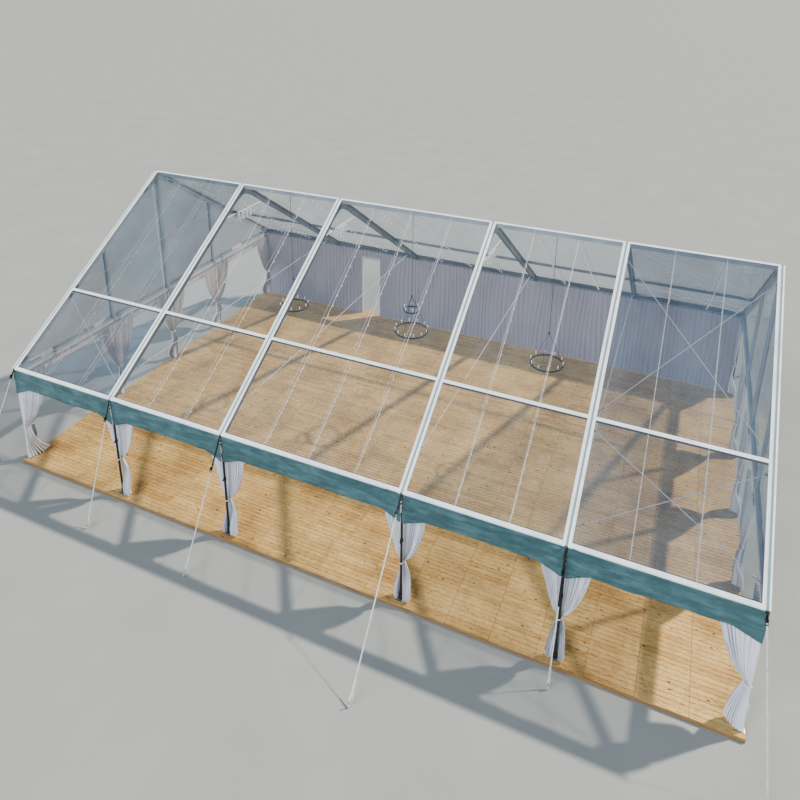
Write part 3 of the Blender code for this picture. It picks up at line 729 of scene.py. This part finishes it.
def hem_roof(side_name, side, outward):
    """White hems with their keder beads at the rafters, and bands at eave, purlin and ridge."""
    bm = bmesh.new()
    for x in FRAME_X:
        for face in (-1, 1):
            far = END_HEM_OUTER if face * x == FRAME_X[-1] else HEM_OUTER
            slope_strip(bm, side, (x + face * HEM_INNER, x + face * far), (0.02, SLOPE), 0.0005, 0.003)
            bead = x + face * (HEM_INNER + 0.002)
            rod(bm, on_slope(side, bead, 0.03), on_slope(side, bead, SLOPE - 0.004), 0.006, 8)
        slope_strip(bm, side, (x - HEM_INNER + 0.006, x + HEM_INNER - 0.006), (0.02, SLOPE), 0.0005, 0.002,
                    finish=1)
    make(f"{side_name}_rafter_hems", bm, (WHITE_VINYL, RAIL), "valance_vinyl")
    bm = bmesh.new()
    for bay in range(5):
        left, right = bay_ends(bay, HEM_INNER + 0.01)

        def turn_down(across, down):
            """The eave hem lies on the film, then turns down over the eave."""
            run = down * (EAVE_HEM + EAVE_LIP)
            x = blend(left, right, across)
            if run <= EAVE_HEM:
                return on_slope(side, x, SLOPE - EAVE_HEM + run, -0.0005)
            corner = on_slope(side, x, SLOPE, -0.0005)
            wave = 0.003 * noise.noise(Vector((x * 5, side, 2.0)))
            return corner - UP * (run - EAVE_HEM) + Vector((0, side * (0.001 + wave), 0))

        join_sheet(bm, 60, 13, turn_down, outward, 0.003)
        for places, depth in (((PURLIN_PLACE - PURLIN_HEM_ABOVE, PURLIN_PLACE + PURLIN_HEM_BELOW), 0.0015),
                              ((0.0, RIDGE_HEM), -0.002)):
            slope_strip(bm, side, (left, right), places, depth, 0.003, 20, 2)
    make(f"{side_name}_cross_hems", bm, (WHITE_VINYL,), "valance_vinyl")
    # Film is welded from widths; each weld shows as a narrow pale band.
    bm = bmesh.new()
    for bay in range(5):
        left, right = bay_ends(bay, HEM_INNER)
        for x in [x for x in STRING_X if left < x < right]:
            across = (x - left) / (right - left)

            def weld(u, down):
                place = down * (SLOPE - 0.1) + 0.05
                depth = FILM_DEPTH - 0.002 + film_sag(across, place)
                return on_slope(side, x + (u - 0.5) * WELD_WIDTH, place, depth)

            join_sheet(bm, 2, 56, weld, outward)
    make(f"{side_name}_film_welds", bm, (WELD,), "clear_vinyl", smooth_angle=80)


def close_gables():
    for end_name, end in ENDS:
        low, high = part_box(f"{end_name}_gable_panel")
        face_x = (low.x + high.x) / 2
        base = low.z + 0.003
        half = HALF_SPAN - 0.02
        outward = Vector((end, 0, 0))

        def under_roof(y):
            return RIDGE_Z - abs(y) * FALL / RUN - 0.025

        def place_film(across, down):
            y = (across - 0.5) * 2 * half
            top = max(base + 0.02, under_roof(y))
            ripple = 0.004 * noise.noise(Vector((y * 0.9, down * 3, end * 5.0)))
            return Vector((face_x + end * ripple, y, blend(top, base, down)))

        bm = face_towards(cloth(64, 18, place_film), outward)
        film = make(f"{end_name}_gable_film", bm, (SHADED_FILM,), "clear_vinyl", f"{end_name}_gable_panel",
                    smooth_angle=80)
        bm = bmesh.new()
        hem_x = face_x + end * 0.003

        def sill(across, down):
            return Vector((hem_x, (across - 0.5) * 2 * half, base + 0.15 * (1 - down)))

        join_sheet(bm, 60, 2, sill, outward, 0.002)
        for side in (-1, 1):
            def rake(across, down):
                y = side * half * across
                return Vector((hem_x, y, max(base + 0.01, under_roof(y) - 0.12 * down)))
            join_sheet(bm, 40, 2, rake, outward, 0.002)
        for y in (-GABLE_POST_Y, 0.0, GABLE_POST_Y):
            def post_band(across, down):
                return Vector((hem_x + end * 0.001, y + (across - 0.5) * 0.17,
                               blend(under_roof(y) - 0.05, base, down)))
            join_sheet(bm, 2, 20, post_band, outward, 0.002)
        make(f"{end_name}_gable_hems", bm, (WHITE_VINYL,), "valance_vinyl")
        # The gable's white lining is laced over the inner face of its eave-level beam.
        bm = bmesh.new()
        for y0, y1 in ((-7.2, -3.16), (-3.04, -0.08), (0.08, 3.04), (3.16, 7.2)):
            def sleeve(across, down):
                sag = 0.004 * math.sin(across * (y1 - y0) * 9)
                z = SLEEVE_TOP - SLEEVE_DEPTH * down + sag * (down - 0.5)
                return Vector((end * SLEEVE_PLANE, blend(y0, y1, across), z))
            join_sheet(bm, 60, 2, sleeve, -outward)
        make(f"{end_name}_beam_sleeve", bm, (LINING,), "valance_vinyl")


# Valances

VALANCE_PLANE = 7.4895
VALANCE_TOP = 3.688
VALANCE_FOOT = 3.00
LEG_TIP = 2.76
LEG_LENGTH = VALANCE_FOOT - LEG_TIP
LEG_REACH = 0.60
LEG_FLAT = 0.06
SLIT_HALF = 0.024


def back_with_lining(piece, thickness=0.0016):
    """The valance's inner face is white: it comes as a second finish."""
    modifier = piece.modifiers.new("lining", "SOLIDIFY")
    modifier.thickness = thickness
    modifier.offset = -1.0
    modifier.material_offset = 1


def hang_valances():
    for side_name, side in SIDES:
        outward = Vector((0, side, 0))
        for bay in range(5):
            left, right = bay_ends(bay, SLIT_HALF)
            if bay == 0:
                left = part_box(f"{side_name}_valance")[0].x + 0.002
            if bay == 4:
                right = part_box(f"{side_name}_valance")[1].x - 0.002

            def place_panel(across, down):
                x = blend(left, right, across)
                from_post = min(x - left, right - x)
                leg = 1 - min(1.0, max(0.0, (from_post - LEG_FLAT) / (LEG_REACH - LEG_FLAT)))
                foot = VALANCE_FOOT + 0.012 * math.sin(x * 2.3 + bay) * (1 - leg) - LEG_LENGTH * leg
                pull = 0.028 * down * noise.noise(Vector((x * 1.6 + down * 0.8, down * 1.2 + side * 4, bay)))
                slack = noise.noise(Vector((x * 0.9 + down * 1.5, down * 5.0, bay + 7.0)))
                slack *= 0.024 * min(1.0, down * 3)
                pinch = abs(noise.noise(Vector((x * 1.2 - down * 1.6, down * 3.2, bay + 3.0))))
                slack += 0.014 * max(0.0, 1 - pinch * 5) ** 2 * min(1.0, down * 4)
                # Creases fan out from the column, where the strap pulls at the eave.
                low = 0.7 * down
                away = math.hypot(from_post, low)
                turn = math.atan2(low, from_post + 0.02) * 9 + bay * 1.7
                turn += 4.0 if right - x < x - left else 0.0
                fan = 0.018 * math.sin(turn) * math.exp(-away / 0.5) * min(1.0, away / 0.1)
                out = max(-0.003, pull + slack + fan + 0.004)
                return Vector((x, side * (VALANCE_PLANE + out), blend(VALANCE_TOP, foot, down)))

            bm = face_towards(cloth(170, 24, place_panel), outward)
            panel = make(f"{side_name}_valance_{bay + 1}", bm, (TEAL_VINYL, LINING), "valance_vinyl",
                         f"{side_name}_valance", smooth_angle=80)
            back_with_lining(panel)
        lace_valance(side_name, side)
    for end_name, end in ENDS:
        low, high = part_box(f"{end_name}_valance")
        outward = Vector((end, 0, 0))

        def place_panel(across, down):
            y = low.y + 0.002 + (high.y - low.y - 0.004) * across
            wave = noise.noise(Vector((y * 1.4, down * 1.1, end * 6.0))) * 0.014 * down
            foot = low.z + 0.008 * math.sin(y * 1.9)
            z = high.z - 0.002 + (foot - high.z) * down
            return Vector(((low.x + high.x) / 2 + end * (wave + 0.002), y, z))

        bm = face_towards(cloth(220, 12, place_panel), outward)
        panel = make(f"{end_name}_gable_valance_panel", bm, (TEAL_VINYL, LINING), "valance_vinyl",
                     f"{end_name}_valance", smooth_angle=80)
        back_with_lining(panel)


def lace_valance(side_name, side):
    """White lacing and a webbing tab with its buckle in each slit, as on the front columns."""
    bm = bmesh.new()
    y = side * 7.502
    for x in FRAME_X[1:-1]:
        points = [(x + (0.032 if step % 2 else -0.032), y, 3.10 + step * 0.075) for step in range(7)]
        swept(bm, points, 0.0028, 6)
        block(bm, (x, y + side * 0.001, 3.60), (0.032, 0.004, 0.15), ease_by=0.001, steps=1)
        block(bm, (x, y + side * 0.003, 3.43), (0.05, 0.008, 0.034), ease_by=0.002, steps=1, finish=1)
        block(bm, (x - 0.004, y + side * 0.001, 3.20), (0.026, 0.004, 0.26), ease_by=0.001, steps=1)
    make(f"{side_name}_valance_lacing", bm, (PALE_WEBBING, WHITE_ENAMEL), "guy_strap")


# Cables, straps and stakes

BRACE_DEPTH = 0.14
BRACE_SPANS = ((0.55, 5.60), (6.04, 8.54))
TIE_Z = 4.12
TIE_END = 6.504


def turnbuckle(bm, start, end):
    """Open-body rigging screw between two points: two bars and their end bosses."""
    way = (end - start).normalized()
    cross = way.cross(UP).normalized()
    ends = start + way * 0.02, end - way * 0.02
    for sign in (-1, 1):
        rod(bm, ends[0] + cross * sign * 0.012, ends[1] + cross * sign * 0.012, 0.004, 8, finish=1)
    for at in ends:
        rod(bm, at - way * 0.012, at + way * 0.012, 0.016, 12, finish=1)


def pull_cable(bm, start, end, radius, screw):
    """Wire rope between two lugs, with a ferrule at each end and a rigging screw at the first."""
    start, end = Vector(start), Vector(end)
    way = (end - start).normalized()
    turnbuckle(bm, start, start + way * screw)
    rod(bm, start + way * (screw - 0.01), end, radius, 8)
    for at in (start + way * (screw + 0.02), end - way * 0.10):
        rod(bm, at, at + way * 0.05, radius * 1.9, 10, finish=1)


def string_cables():
    for count, x in enumerate(FRAME_X[1:-1], 1):
        bm = bmesh.new()
        pull_cable(bm, (x, -TIE_END + 0.10, TIE_Z), (x, TIE_END - 0.10, TIE_Z), 0.009, 0.30)
        for side in (-1, 1):
            block(bm, (x, side * (TIE_END - 0.075), TIE_Z), (0.012, 0.15, 0.036), finish=1)
            pin = side * (TIE_END - 0.12)
            rod(bm, (x - 0.016, pin, TIE_Z), (x + 0.016, pin, TIE_Z), 0.009, 10, finish=1)
        make(f"tie_cable_{count}_rope", bm, (ROPE, ZINC), "steel_cable", f"tie_cable_{count}")
    for side_name, side in SIDES:
        for end_name, (left, right) in (("left", FRAME_X[:2]), ("right", FRAME_X[-2:])):
            bm = bmesh.new()
            left_x, right_x = left + RAFTER_HALF + 0.012, right - RAFTER_HALF - 0.012
            for high, low in BRACE_SPANS:
                for depth, (x0, x1) in ((BRACE_DEPTH - 0.010, (left_x, right_x)),
                                        (BRACE_DEPTH + 0.010, (right_x, left_x))):
                    top, foot = on_slope(side, x0, high, depth), on_slope(side, x1, low, depth)
                    pull_cable(bm, foot, top, 0.012, 0.20)
                    for at in (top, foot):
                        block(bm, at, (0.012, 0.05, 0.05), ease_by=0.002, finish=1)
            node = f"{end_name}_{side_name}_roof_bracing"
            make(f"{node}_cables", bm, (ROPE, ZINC), "steel_cable", node)


# Each stake's distance out from the eave and shift along it, as in the part's source; then the
# black sling's length at the top and the ratchet's place along the strap.
GUYS = (
    (1.65, -0.48, 0.15, 0.20),
    (1.55, 0.07, 0.50, 0.55),
    (1.75, -0.23, 0.85, 0.92),
    (3.12, 0.05, 0.45, 0.42),
    (0.77, 0.0, 1.50, 0.60),
    (1.65, 0.48, 0.10, 0.14),
)
TAIL_LENGTH = 0.42
LUG_Z = 3.635
STAKE_TOP = 0.24
LOOP_Z = 0.075


def ratchet(bm, centre, way, outward):
    """Ratchet buckle: two side plates, spindle, handle and a base strip."""
    way = way.normalized()
    cross = way.cross(outward).normalized()
    lift = cross.cross(way).normalized()
    turn = Matrix((way, cross, lift)).transposed().to_4x4()

    def at(along, aside, above):
        return centre + way * along + cross * aside + lift * above

    for sign in (-1, 1):
        block(bm, at(0, sign * 0.029, 0.012), (0.13, 0.004, 0.034), turn, 0.001, 1, 2)
        block(bm, at(0.03, sign * 0.034, 0.026), (0.12, 0.003, 0.02), turn, 0.001, 1, 3)
    rod(bm, at(0, -0.036, 0.016), at(0, 0.036, 0.016), 0.013, 12, finish=2)
    rod(bm, at(0.085, -0.035, 0.028), at(0.085, 0.035, 0.028), 0.010, 10, finish=3)
    block(bm, at(-0.01, 0, 0.002), (0.11, 0.05, 0.004), turn, 0.001, 1, 2)


def anchor_guys():
    for side_name, side in SIDES:
        outward = Vector((0, side, 0))
        for count, (out, along, sling, buckle) in enumerate(GUYS, 1):
            node = f"{side_name}_guy_{count}"
            x = FRAME_X[count - 1]
            stake_x, stake_y = x + along, side * (HALF_SPAN + out)
            top = Vector((x, side * (HALF_SPAN + 0.022), LUG_Z))
            foot = Vector((stake_x, stake_y - side * 0.022, LOOP_Z))
            way = (foot - top).normalized()
            long = (foot - top).length
            bm = bmesh.new()
            across = way.cross(outward).normalized()

            def strap(length0, length1, half, finish, thick):
                def place(u, v):
                    run = blend(length0, length1, v)
                    turn = 0.25 * noise.noise(Vector((run * 0.8, count, side * 2.0)))
                    side_way = across * math.cos(turn) + way.cross(across) * math.sin(turn)
                    return top + way * run + side_way * (u - 0.5) * 2 * half
                join_sheet(bm, 2, 30, place, outward, thick, finish)

            strap(0.02, sling, 0.024, 1, 0.004)
            strap(sling, long - 0.02, 0.0175, 0, 0.003)
            ratchet(bm, top + way * buckle, way, outward)
            # The strap's tail is folded back over its foot and taped.
            strap(long - 0.06 - TAIL_LENGTH, long - 0.06, 0.027, 0, 0.011)
            # Eave lug with its shackle.
            block(bm, (x, side * (HALF_SPAN + 0.008), LUG_Z), (0.06, 0.012, 0.06), ease_by=0.002, finish=3)
            swept(bm, circle(top + way * 0.012, 0.017, 16, across, way), 0.004, 6, 3, True)
            # Stake: a round steel pin with its head, and the strap's loop round it.
            upright(bm, stake_x, stake_y, 0.0, STAKE_TOP - 0.025, 0.0125, finish=3)
            upright(bm, stake_x, stake_y, STAKE_TOP - 0.035, STAKE_TOP, 0.015, 12, 0.0135, 3)
            swept(bm, circle((stake_x, stake_y - side * 0.004, LOOP_Z), 0.02, 20), 0.008, 6, 0, True)
            loop = circle((0, 0, 0), 1.0, 24)
            swept(bm, [foot - way * (0.12 + 0.11 * at.x) + across * 0.035 * at.y for at in loop], 0.011, 8, 0,
                  True)
            make(f"{node}_strap", bm, (PALE_WEBBING, BLACK_WEBBING, BLACK_ENAMEL, STAKE_STEEL), "guy_strap",
                 node)


# Curtains

FLOOR_Z = DECK_TOP + 0.004
FRONT_PLANE = 7.276
FRONT_HEAD = 3.47
GABLE_PLANE = 11.271
GABLE_HEAD = 3.345
GABLE_TIE = 1.40
CORNER_POST_Y = 7.302
# Each fall lists (height over the tie, reach from the post), from the eave down to the tie.
LEFT_FALL = ((2.25, 0.65), (1.55, 0.63), (1.15, 0.52), (0.75, 0.41), (0.40, 0.30), (0.25, 0.235),
             (0.10, 0.14), (0.0, 0.055))
RIGHT_FALL = ((2.25, 0.66), (1.70, 0.655), (1.30, 0.60), (0.95, 0.535), (0.60, 0.435), (0.30, 0.315),
              (0.15, 0.22), (0.06, 0.13), (0.0, 0.055))
CORNER_FALL = ((2.25, 0.90), (1.56, 0.86), (1.0, 0.68), (0.6, 0.53), (0.35, 0.41), (0.15, 0.26),
               (0.05, 0.17), (0.0, 0.12))
LEFT_CORNER_FALL = ((2.2, 1.10), (1.6, 1.08), (1.1, 0.92), (0.5, 0.56), (0.16, 0.24), (0.0, 0.13))
GABLE_FALL = ((2.1, 0.90), (1.5, 0.85), (1.1, 0.74), (0.7, 0.57), (0.4, 0.40), (0.15, 0.22), (0.0, 0.10))
# Each front column's tie height, then how far its cloth reaches at the floor to the left and right.
FRONT_TIES = ((1.43, 0.0, 0.72), (1.42, 0.06, 0.44), (1.34, 0.19, 0.39), (1.37, 0.20, 0.33),
              (1.40, 0.27, 0.24), (1.47, 0.40, 0.0))
# The corner cloth starts round its post this far over the tie, and at column 1 turns in by this angle.
WRAP_OVER_TIE = 1.9
FAR_SWEEP = math.radians(66)


def corner_wrap(post, sign, across, z, reach, depth, tie, sweep):
    """A corner's cloth is drawn round the outside of its post, from behind the valance down to the floor.

    Under the tie it turns inwards by the sweep, an angle that it reaches at the floor.
    """
    wrap = ease((tie + WRAP_OVER_TIE - z) / 0.5)
    free = ease((LEG_TIP - 0.01 - z) / 0.22)  # 0 behind the valance's leg, 1 below it
    share = 0.22 * wrap
    leave = math.radians(blend(-60, 68, wrap))
    radius = blend(blend(0.15, 0.038, wrap), 0.044 + 0.04 * ease((tie - 0.2 - z) / (tie - 0.3)), free)
    proud = max(0.0, depth + 0.03) * 0.35 * free
    # Behind the valance's leg the cloth stays inside the valance.
    deepest = -blend(VALANCE_PLANE - 0.0085, 7.62, free)

    def on_arc(turn, far):
        return Vector((post[0] + sign * far * math.cos(turn), max(deepest, post[1] - far * math.sin(turn)), z))

    if across < share:
        return on_arc(blend(math.radians(blend(-60, 128, wrap)), leave, across / share), radius + proud)
    start = on_arc(leave, radius + proud * wrap)
    turn = sweep * ease((tie - z) / (tie - FLOOR_Z))
    far = Vector((post[0] + sign * reach * math.cos(turn), post[1] + 0.10 + reach * math.sin(turn), z))
    run = (across - share) / (1 - share)
    swell = depth * min(1.0, run * 4)
    spot = start.lerp(far, run) + Vector((sign * swell * math.sin(turn), -swell * math.cos(turn), 0))
    spot.y = max(spot.y, deepest)
    return spot


def gathered(name, place_in_plane, outward, fall, foot, tie, head, sign, folds, node, seed,
             wrap=None, sweep=0.0):
    """One tied-back panel: from its post outwards by its reach, in deep pleats that run to the tie."""
    def pleat_at(across, z):
        wobble = 0.55 * noise.noise(Vector((across * 4.1, z * 0.4, seed)))
        turn = 2 * math.pi * (folds * across + wobble)
        own = 0.75 + 0.9 * noise.noise(Vector((across * folds * 0.7, seed * 3.1, z * 0.2)))
        if wrap:  # the cloth lies smoother round its post
            own *= blend(0.35, 1.0, ease((across - 0.20) / 0.30))
        return turn, max(0.15, own)

    def height(across, down):
        """The hem is drawn up at the panel's free edge."""
        return head + (FLOOR_Z + 0.15 * across ** 4 - head) * down

    def place(across, down):
        z = height(across, down)
        reach = reach_at(fall, foot, z - tie, tie - FLOOR_Z, bool(sweep))
        turn, own = pleat_at(across, z)
        near_tie = math.exp(-((z - tie) / 0.3) ** 2)
        depth = 0.040 * own * (1 - 0.45 * near_tie) * (math.sin(turn) + 0.25 * math.sin(2 * turn + seed))
        edge = 0.012 * noise.noise(Vector((z * 2.1, seed, 4.0)))
        sway = 0.012 * reach * math.sin(turn * 0.5)
        along = sign * max(0.0, 0.010 + (reach - 0.010 + edge) * across + sway * (1 - across))
        if wrap:
            return corner_wrap(wrap, sign, across, z, reach, depth, tie, sweep)
        # The cloth is drawn up to its post at the tie, blouses over it, and spreads forward at the floor.
        blouse = 0.03 * math.exp(-((z - tie - 0.16) / 0.12) ** 2)
        beside = ease((abs(along) - 0.045) / 0.05)
        flare = 0.23 * ease((tie - 0.35 - z) / 0.70) * beside
        belly = 0.012 * math.sin(math.pi * min(1.0, max(0.0, (z - tie) / 2.0))) * across
        return place_in_plane(along, depth + belly + 0.045 * near_tie + blouse * across + flare, z)

    # Painted shade: each pleat's valley is coloured darker than its ridge.
    def valley_shade_at(across, down):
        turn, own = pleat_at(across, height(across, down))
        return 0.5 + 0.5 * math.sin(turn) * min(1.0, own)

    bm = face_towards(cloth(folds * 10, 72, place, valley_shade_at), outward)
    panel = make(name, bm, (VOILE,), "curtain_fabric", node, smooth_angle=80)


def tie_band(bm, middle, half_x, half_y, z):
    """The narrow cloth band that holds a post's panels to it."""
    def place(across, down):
        turn = 2 * math.pi * across
        swell = 1.0 - 0.10 * math.sin(math.pi * down) + 0.02 * math.sin(turn * 7 + down * 3)
        rise = 0.022 * (1 - 2 * down) + 0.010 * math.cos(turn)
        return Vector((middle[0] + half_x * math.cos(turn) * swell, middle[1] + half_y * math.sin(turn) * swell,
                       z + rise))
    made = cloth(48, 4, place)
    bmesh.ops.remove_doubles(made, verts=made.verts[:], dist=0.0005)
    bmesh.ops.recalc_face_normals(made, faces=made.faces[:])
    join(bm, thicken(made, 0.002))


def hang_curtains():
    bands = bmesh.new()
    for count, (x, (tie, left_foot, right_foot)) in enumerate(zip(FRAME_X, FRONT_TIES), 1):
        corner = count in (1, 6)

        def in_plane(along, depth, z, x=x):
            return Vector((x + along, -FRONT_PLANE - depth, z))

        for sign, word, fall, foot in ((-1, "left", LEFT_FALL, left_foot), (1, "right", RIGHT_FALL, right_foot)):
            if corner and sign * x > 0:
                continue
            fall = {1: LEFT_CORNER_FALL, 6: CORNER_FALL}.get(count, fall)
            gathered(f"front_curtain_{count}_{word}", in_plane, Vector((0, -1, 0)), fall, foot, tie, FRONT_HEAD,
                     sign, 10 if corner else 9, "front_curtains",
                     count * 2.3 + sign, (x, -POLE_Y) if corner else None, FAR_SWEEP if count == 1 else 0.0)
        if corner:
            tie_band(bands, (x - math.copysign(0.02, x), -7.425), 0.085, 0.088, tie)
        else:
            tie_band(bands, (x, -7.385), 0.066, 0.108, tie)
    make("front_curtain_ties", bands, (FLAT_VOILE,), "curtain_fabric")
    posts = ((-GABLE_POST_Y, "front_post"), (0.0, "king_post"), (GABLE_POST_Y, "rear_post"),
             (-CORNER_POST_Y, "front_corner"), (CORNER_POST_Y, "rear_corner"))
    for end_name, end in ENDS:
        bands = bmesh.new()
        for y, word in posts:
            corner = "corner" in word

            def in_plane(along, depth, z, y=y):
                return Vector((end * (GABLE_PLANE + depth), y + along, z))

            for sign, way in ((-1, "a"), (1, "b")):
                if corner and sign * y > 0:
                    continue
                foot = (0.15 if end < 0 and y < 0 else 0.36) if corner else 0.27
                gathered(f"{end_name}_{word}_curtain_{way}", in_plane, Vector((end, 0, 0)),
                         CORNER_FALL if corner else GABLE_FALL, foot, GABLE_TIE, GABLE_HEAD, sign, 11,
                         f"{end_name}_gable_curtains", y * 1.7 + sign + end * 5)
            middle = y - math.copysign(0.06, y) if corner else y
            tie_band(bands, (end * (GABLE_PLANE + 0.045), middle), 0.06, 0.08 if corner else 0.115, GABLE_TIE)
        make(f"{end_name}_gable_curtain_ties", bands, (FLAT_VOILE,), "curtain_fabric")


DRAPE_Y = 7.318
DOOR_LEFT = -5.655
DOOR_RIGHT = -4.705
DOOR_TOP = 3.17


def hang_rear_drape():
    low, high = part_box("rear_drape")
    edges = (low.x, FRAME_X[1], DOOR_LEFT, DOOR_RIGHT, *FRAME_X[2:5], high.x)
    names = ("bay_1", "bay_2_left", "door_head", "bay_2_right", "bay_3", "bay_4", "bay_5")
    for name, left, right in zip(names, edges, edges[1:]):
        foot = DOOR_TOP if name == "door_head" else FLOOR_Z
        folds = max(2, round((right - left) / 0.19))
        head = high.z - 0.004

        def pleat_at(across, down):
            x, z = blend(left, right, across), blend(head, foot, down)
            wobble = 0.8 * noise.noise(Vector((x * 1.1, z * 0.3, 2.0)))
            own = 0.70 + 0.9 * noise.noise(Vector((x * 2.3, z * 0.3, 9.0)))
            return x, z, 2 * math.pi * (folds * across + wobble), own

        def place(across, down):
            x, z, turn, own = pleat_at(across, down)
            return Vector((x, DRAPE_Y + 0.017 * own * (math.sin(turn) + 0.15 * math.sin(2 * turn)), z))

        # Painted shade: each pleat's valley is coloured darker than its ridge.
        def valley_shade_at(across, down):
            *_, turn, own = pleat_at(across, down)
            return 0.5 - 0.4 * math.sin(turn) * min(1.0, own)

        bm = face_towards(cloth(folds * 10, 20, place, valley_shade_at), Vector((0, 1, 0)))
        panel = make(f"rear_drape_{name}", bm, (SHADED_REAR_VOILE,), "curtain_fabric", "rear_drape", smooth_angle=80)
    # A rail carries the drape, and a folded edge frames the doorway.
    bm = bmesh.new()
    rod(bm, (low.x + 0.01, DRAPE_Y, high.z - 0.012), (high.x - 0.01, DRAPE_Y, high.z - 0.012), 0.012, 10)
    make("rear_drape_rail", bm, (FRAME_COAT,), "frame_aluminium")
    bm = bmesh.new()
    for x in (DOOR_LEFT, DOOR_RIGHT):
        block(bm, (x, DRAPE_Y, (DOOR_TOP + FLOOR_Z) / 2), (0.05, 0.06, DOOR_TOP - FLOOR_Z), None, 0.02, 3)
    block(bm, ((DOOR_LEFT + DOOR_RIGHT) / 2, DRAPE_Y, DOOR_TOP), (DOOR_RIGHT - DOOR_LEFT, 0.06, 0.05), None,
          0.02, 3)
    make("doorway_edging", bm, (FLAT_VOILE,), "curtain_fabric")


# Lights on the frame

BULB_SPACING = 0.38
CORD_RADIUS = 0.008
# Each string's ends at the ridge beam and the eave beam: metres out from the middle, and height.
STRING_HEAD = (0.075, 8.56)
STRING_FOOT = (7.372, 3.66)
STRING_SAG = 0.16
COLLAR_Y = 1.2
COLLAR_Z = 7.68
LAMP_ROD_TOP = 8.60
# Each ring lamp's word, its place along the tent, and its tiers: height, hoop radius and bulbs.
RING_LAMPS = (("left", -5.0, ((3.98, 0.53, 10),)), ("middle", 0.0, ((4.02, 0.60, 12), (4.86, 0.28, 6))),
              ("right", 5.0, ((3.92, 0.55, 10),)))


def string_lights():
    """Strings of bulbs from the ridge beam to the eave beams; they sag a little below the film."""
    for side_name, side in SIDES:
        bm = bmesh.new()
        for x in STRING_X:
            start, end = (Vector((x, side * out, z)) for out, z in (STRING_HEAD, STRING_FOOT))

            def along(t):
                return start.lerp(end, t) - UP * (STRING_SAG * 4 * t * (1 - t))

            swept(bm, [along(step / 24) for step in range(25)], CORD_RADIUS, 6)
            count = int((end - start).length / BULB_SPACING)
            for step in range(1, count):
                at = along(step / count)
                rod(bm, at, at - UP * 0.05, 0.013, 6, finish=1)
                ball(bm, at - UP * 0.066, 0.019, 7, 5, 2)
        make(f"{side_name}_light_strings", bm, (CABLE_PVC, WHITE_ENAMEL, OPAL_GLASS), "steel_cable",
             smooth_angle=60)


def hang_lamp_bars():
    """A collar bar across the inner rafter pairs with four spot lamps under its middle."""
    for count, x in enumerate(FRAME_X[1:-1], 1):
        bm = bmesh.new()
        rod(bm, (x, -COLLAR_Y, COLLAR_Z), (x, COLLAR_Y, COLLAR_Z), 0.024, 16)
        for y in (-0.36, -0.12, 0.12, 0.36):
            for top, foot, radius, sides, radius_end, finish in (
                (0.02, 0.08, 0.012, 8, None, 0), (0.08, 0.33, 0.052, 20, 0.058, 0),
                (0.055, 0.08, 0.034, 20, 0.052, 0), (0.331, 0.336, 0.046, 20, None, 1),
            ):
                upright(bm, x, y, COLLAR_Z - top, COLLAR_Z - foot, radius, sides, radius_end, finish)
        make(f"lamp_bar_{count}", bm, (WHITE_ENAMEL, OPAL_GLASS), "frame_aluminium")


def hang_ring_lamps():
    """Black hoops with candle bulbs, each tier on three stays from a rod under the ridge beam."""
    for word, x, tiers in RING_LAMPS:
        bm = bmesh.new()
        hub = tiers[-1][0] + (0.55 if len(tiers) > 1 else 1.15)
        upright(bm, x, 0, hub, LAMP_ROD_TOP, 0.008, 8)
        upright(bm, x, 0, hub - 0.03, hub + 0.06, 0.035, 14, 0.02)
        for z, radius, lamps in tiers:
            for lift in (0.0, 0.022):
                swept(bm, circle((x, 0, z + lift), radius, 48), 0.020, 8, 0, True)
            for spoke in range(3):
                turn = 2 * math.pi * spoke / 3 + 0.4
                rim = Vector((x + radius * math.cos(turn), radius * math.sin(turn), z + 0.02))
                rod(bm, rim, (x, 0, hub), 0.006, 6)
            for at in circle((x, 0, z + 0.035), radius, lamps):
                rod(bm, at - UP * 0.03, at + UP * 0.012, 0.03, 10, 0.034)
                rod(bm, at, at + UP * 0.09, 0.014, 8, finish=1)
                ball(bm, at + UP * 0.12, 0.020, 8, 6, 2, 1.7)
        make(f"ring_lamp_{word}", bm, (BLACK_ENAMEL, WHITE_ENAMEL, OPAL_GLASS), "frame_aluminium",
             smooth_angle=60)


# The tent

set_camera()
set_lights()
lay_floor()
coat_frame()
lay_deck()
stand_columns()
bolt_joints()
stretch_roof()
close_gables()
hang_valances()
string_cables()
anchor_guys()
hang_curtains()
hang_rear_drape()
string_lights()
hang_lamp_bars()
hang_ring_lamps()
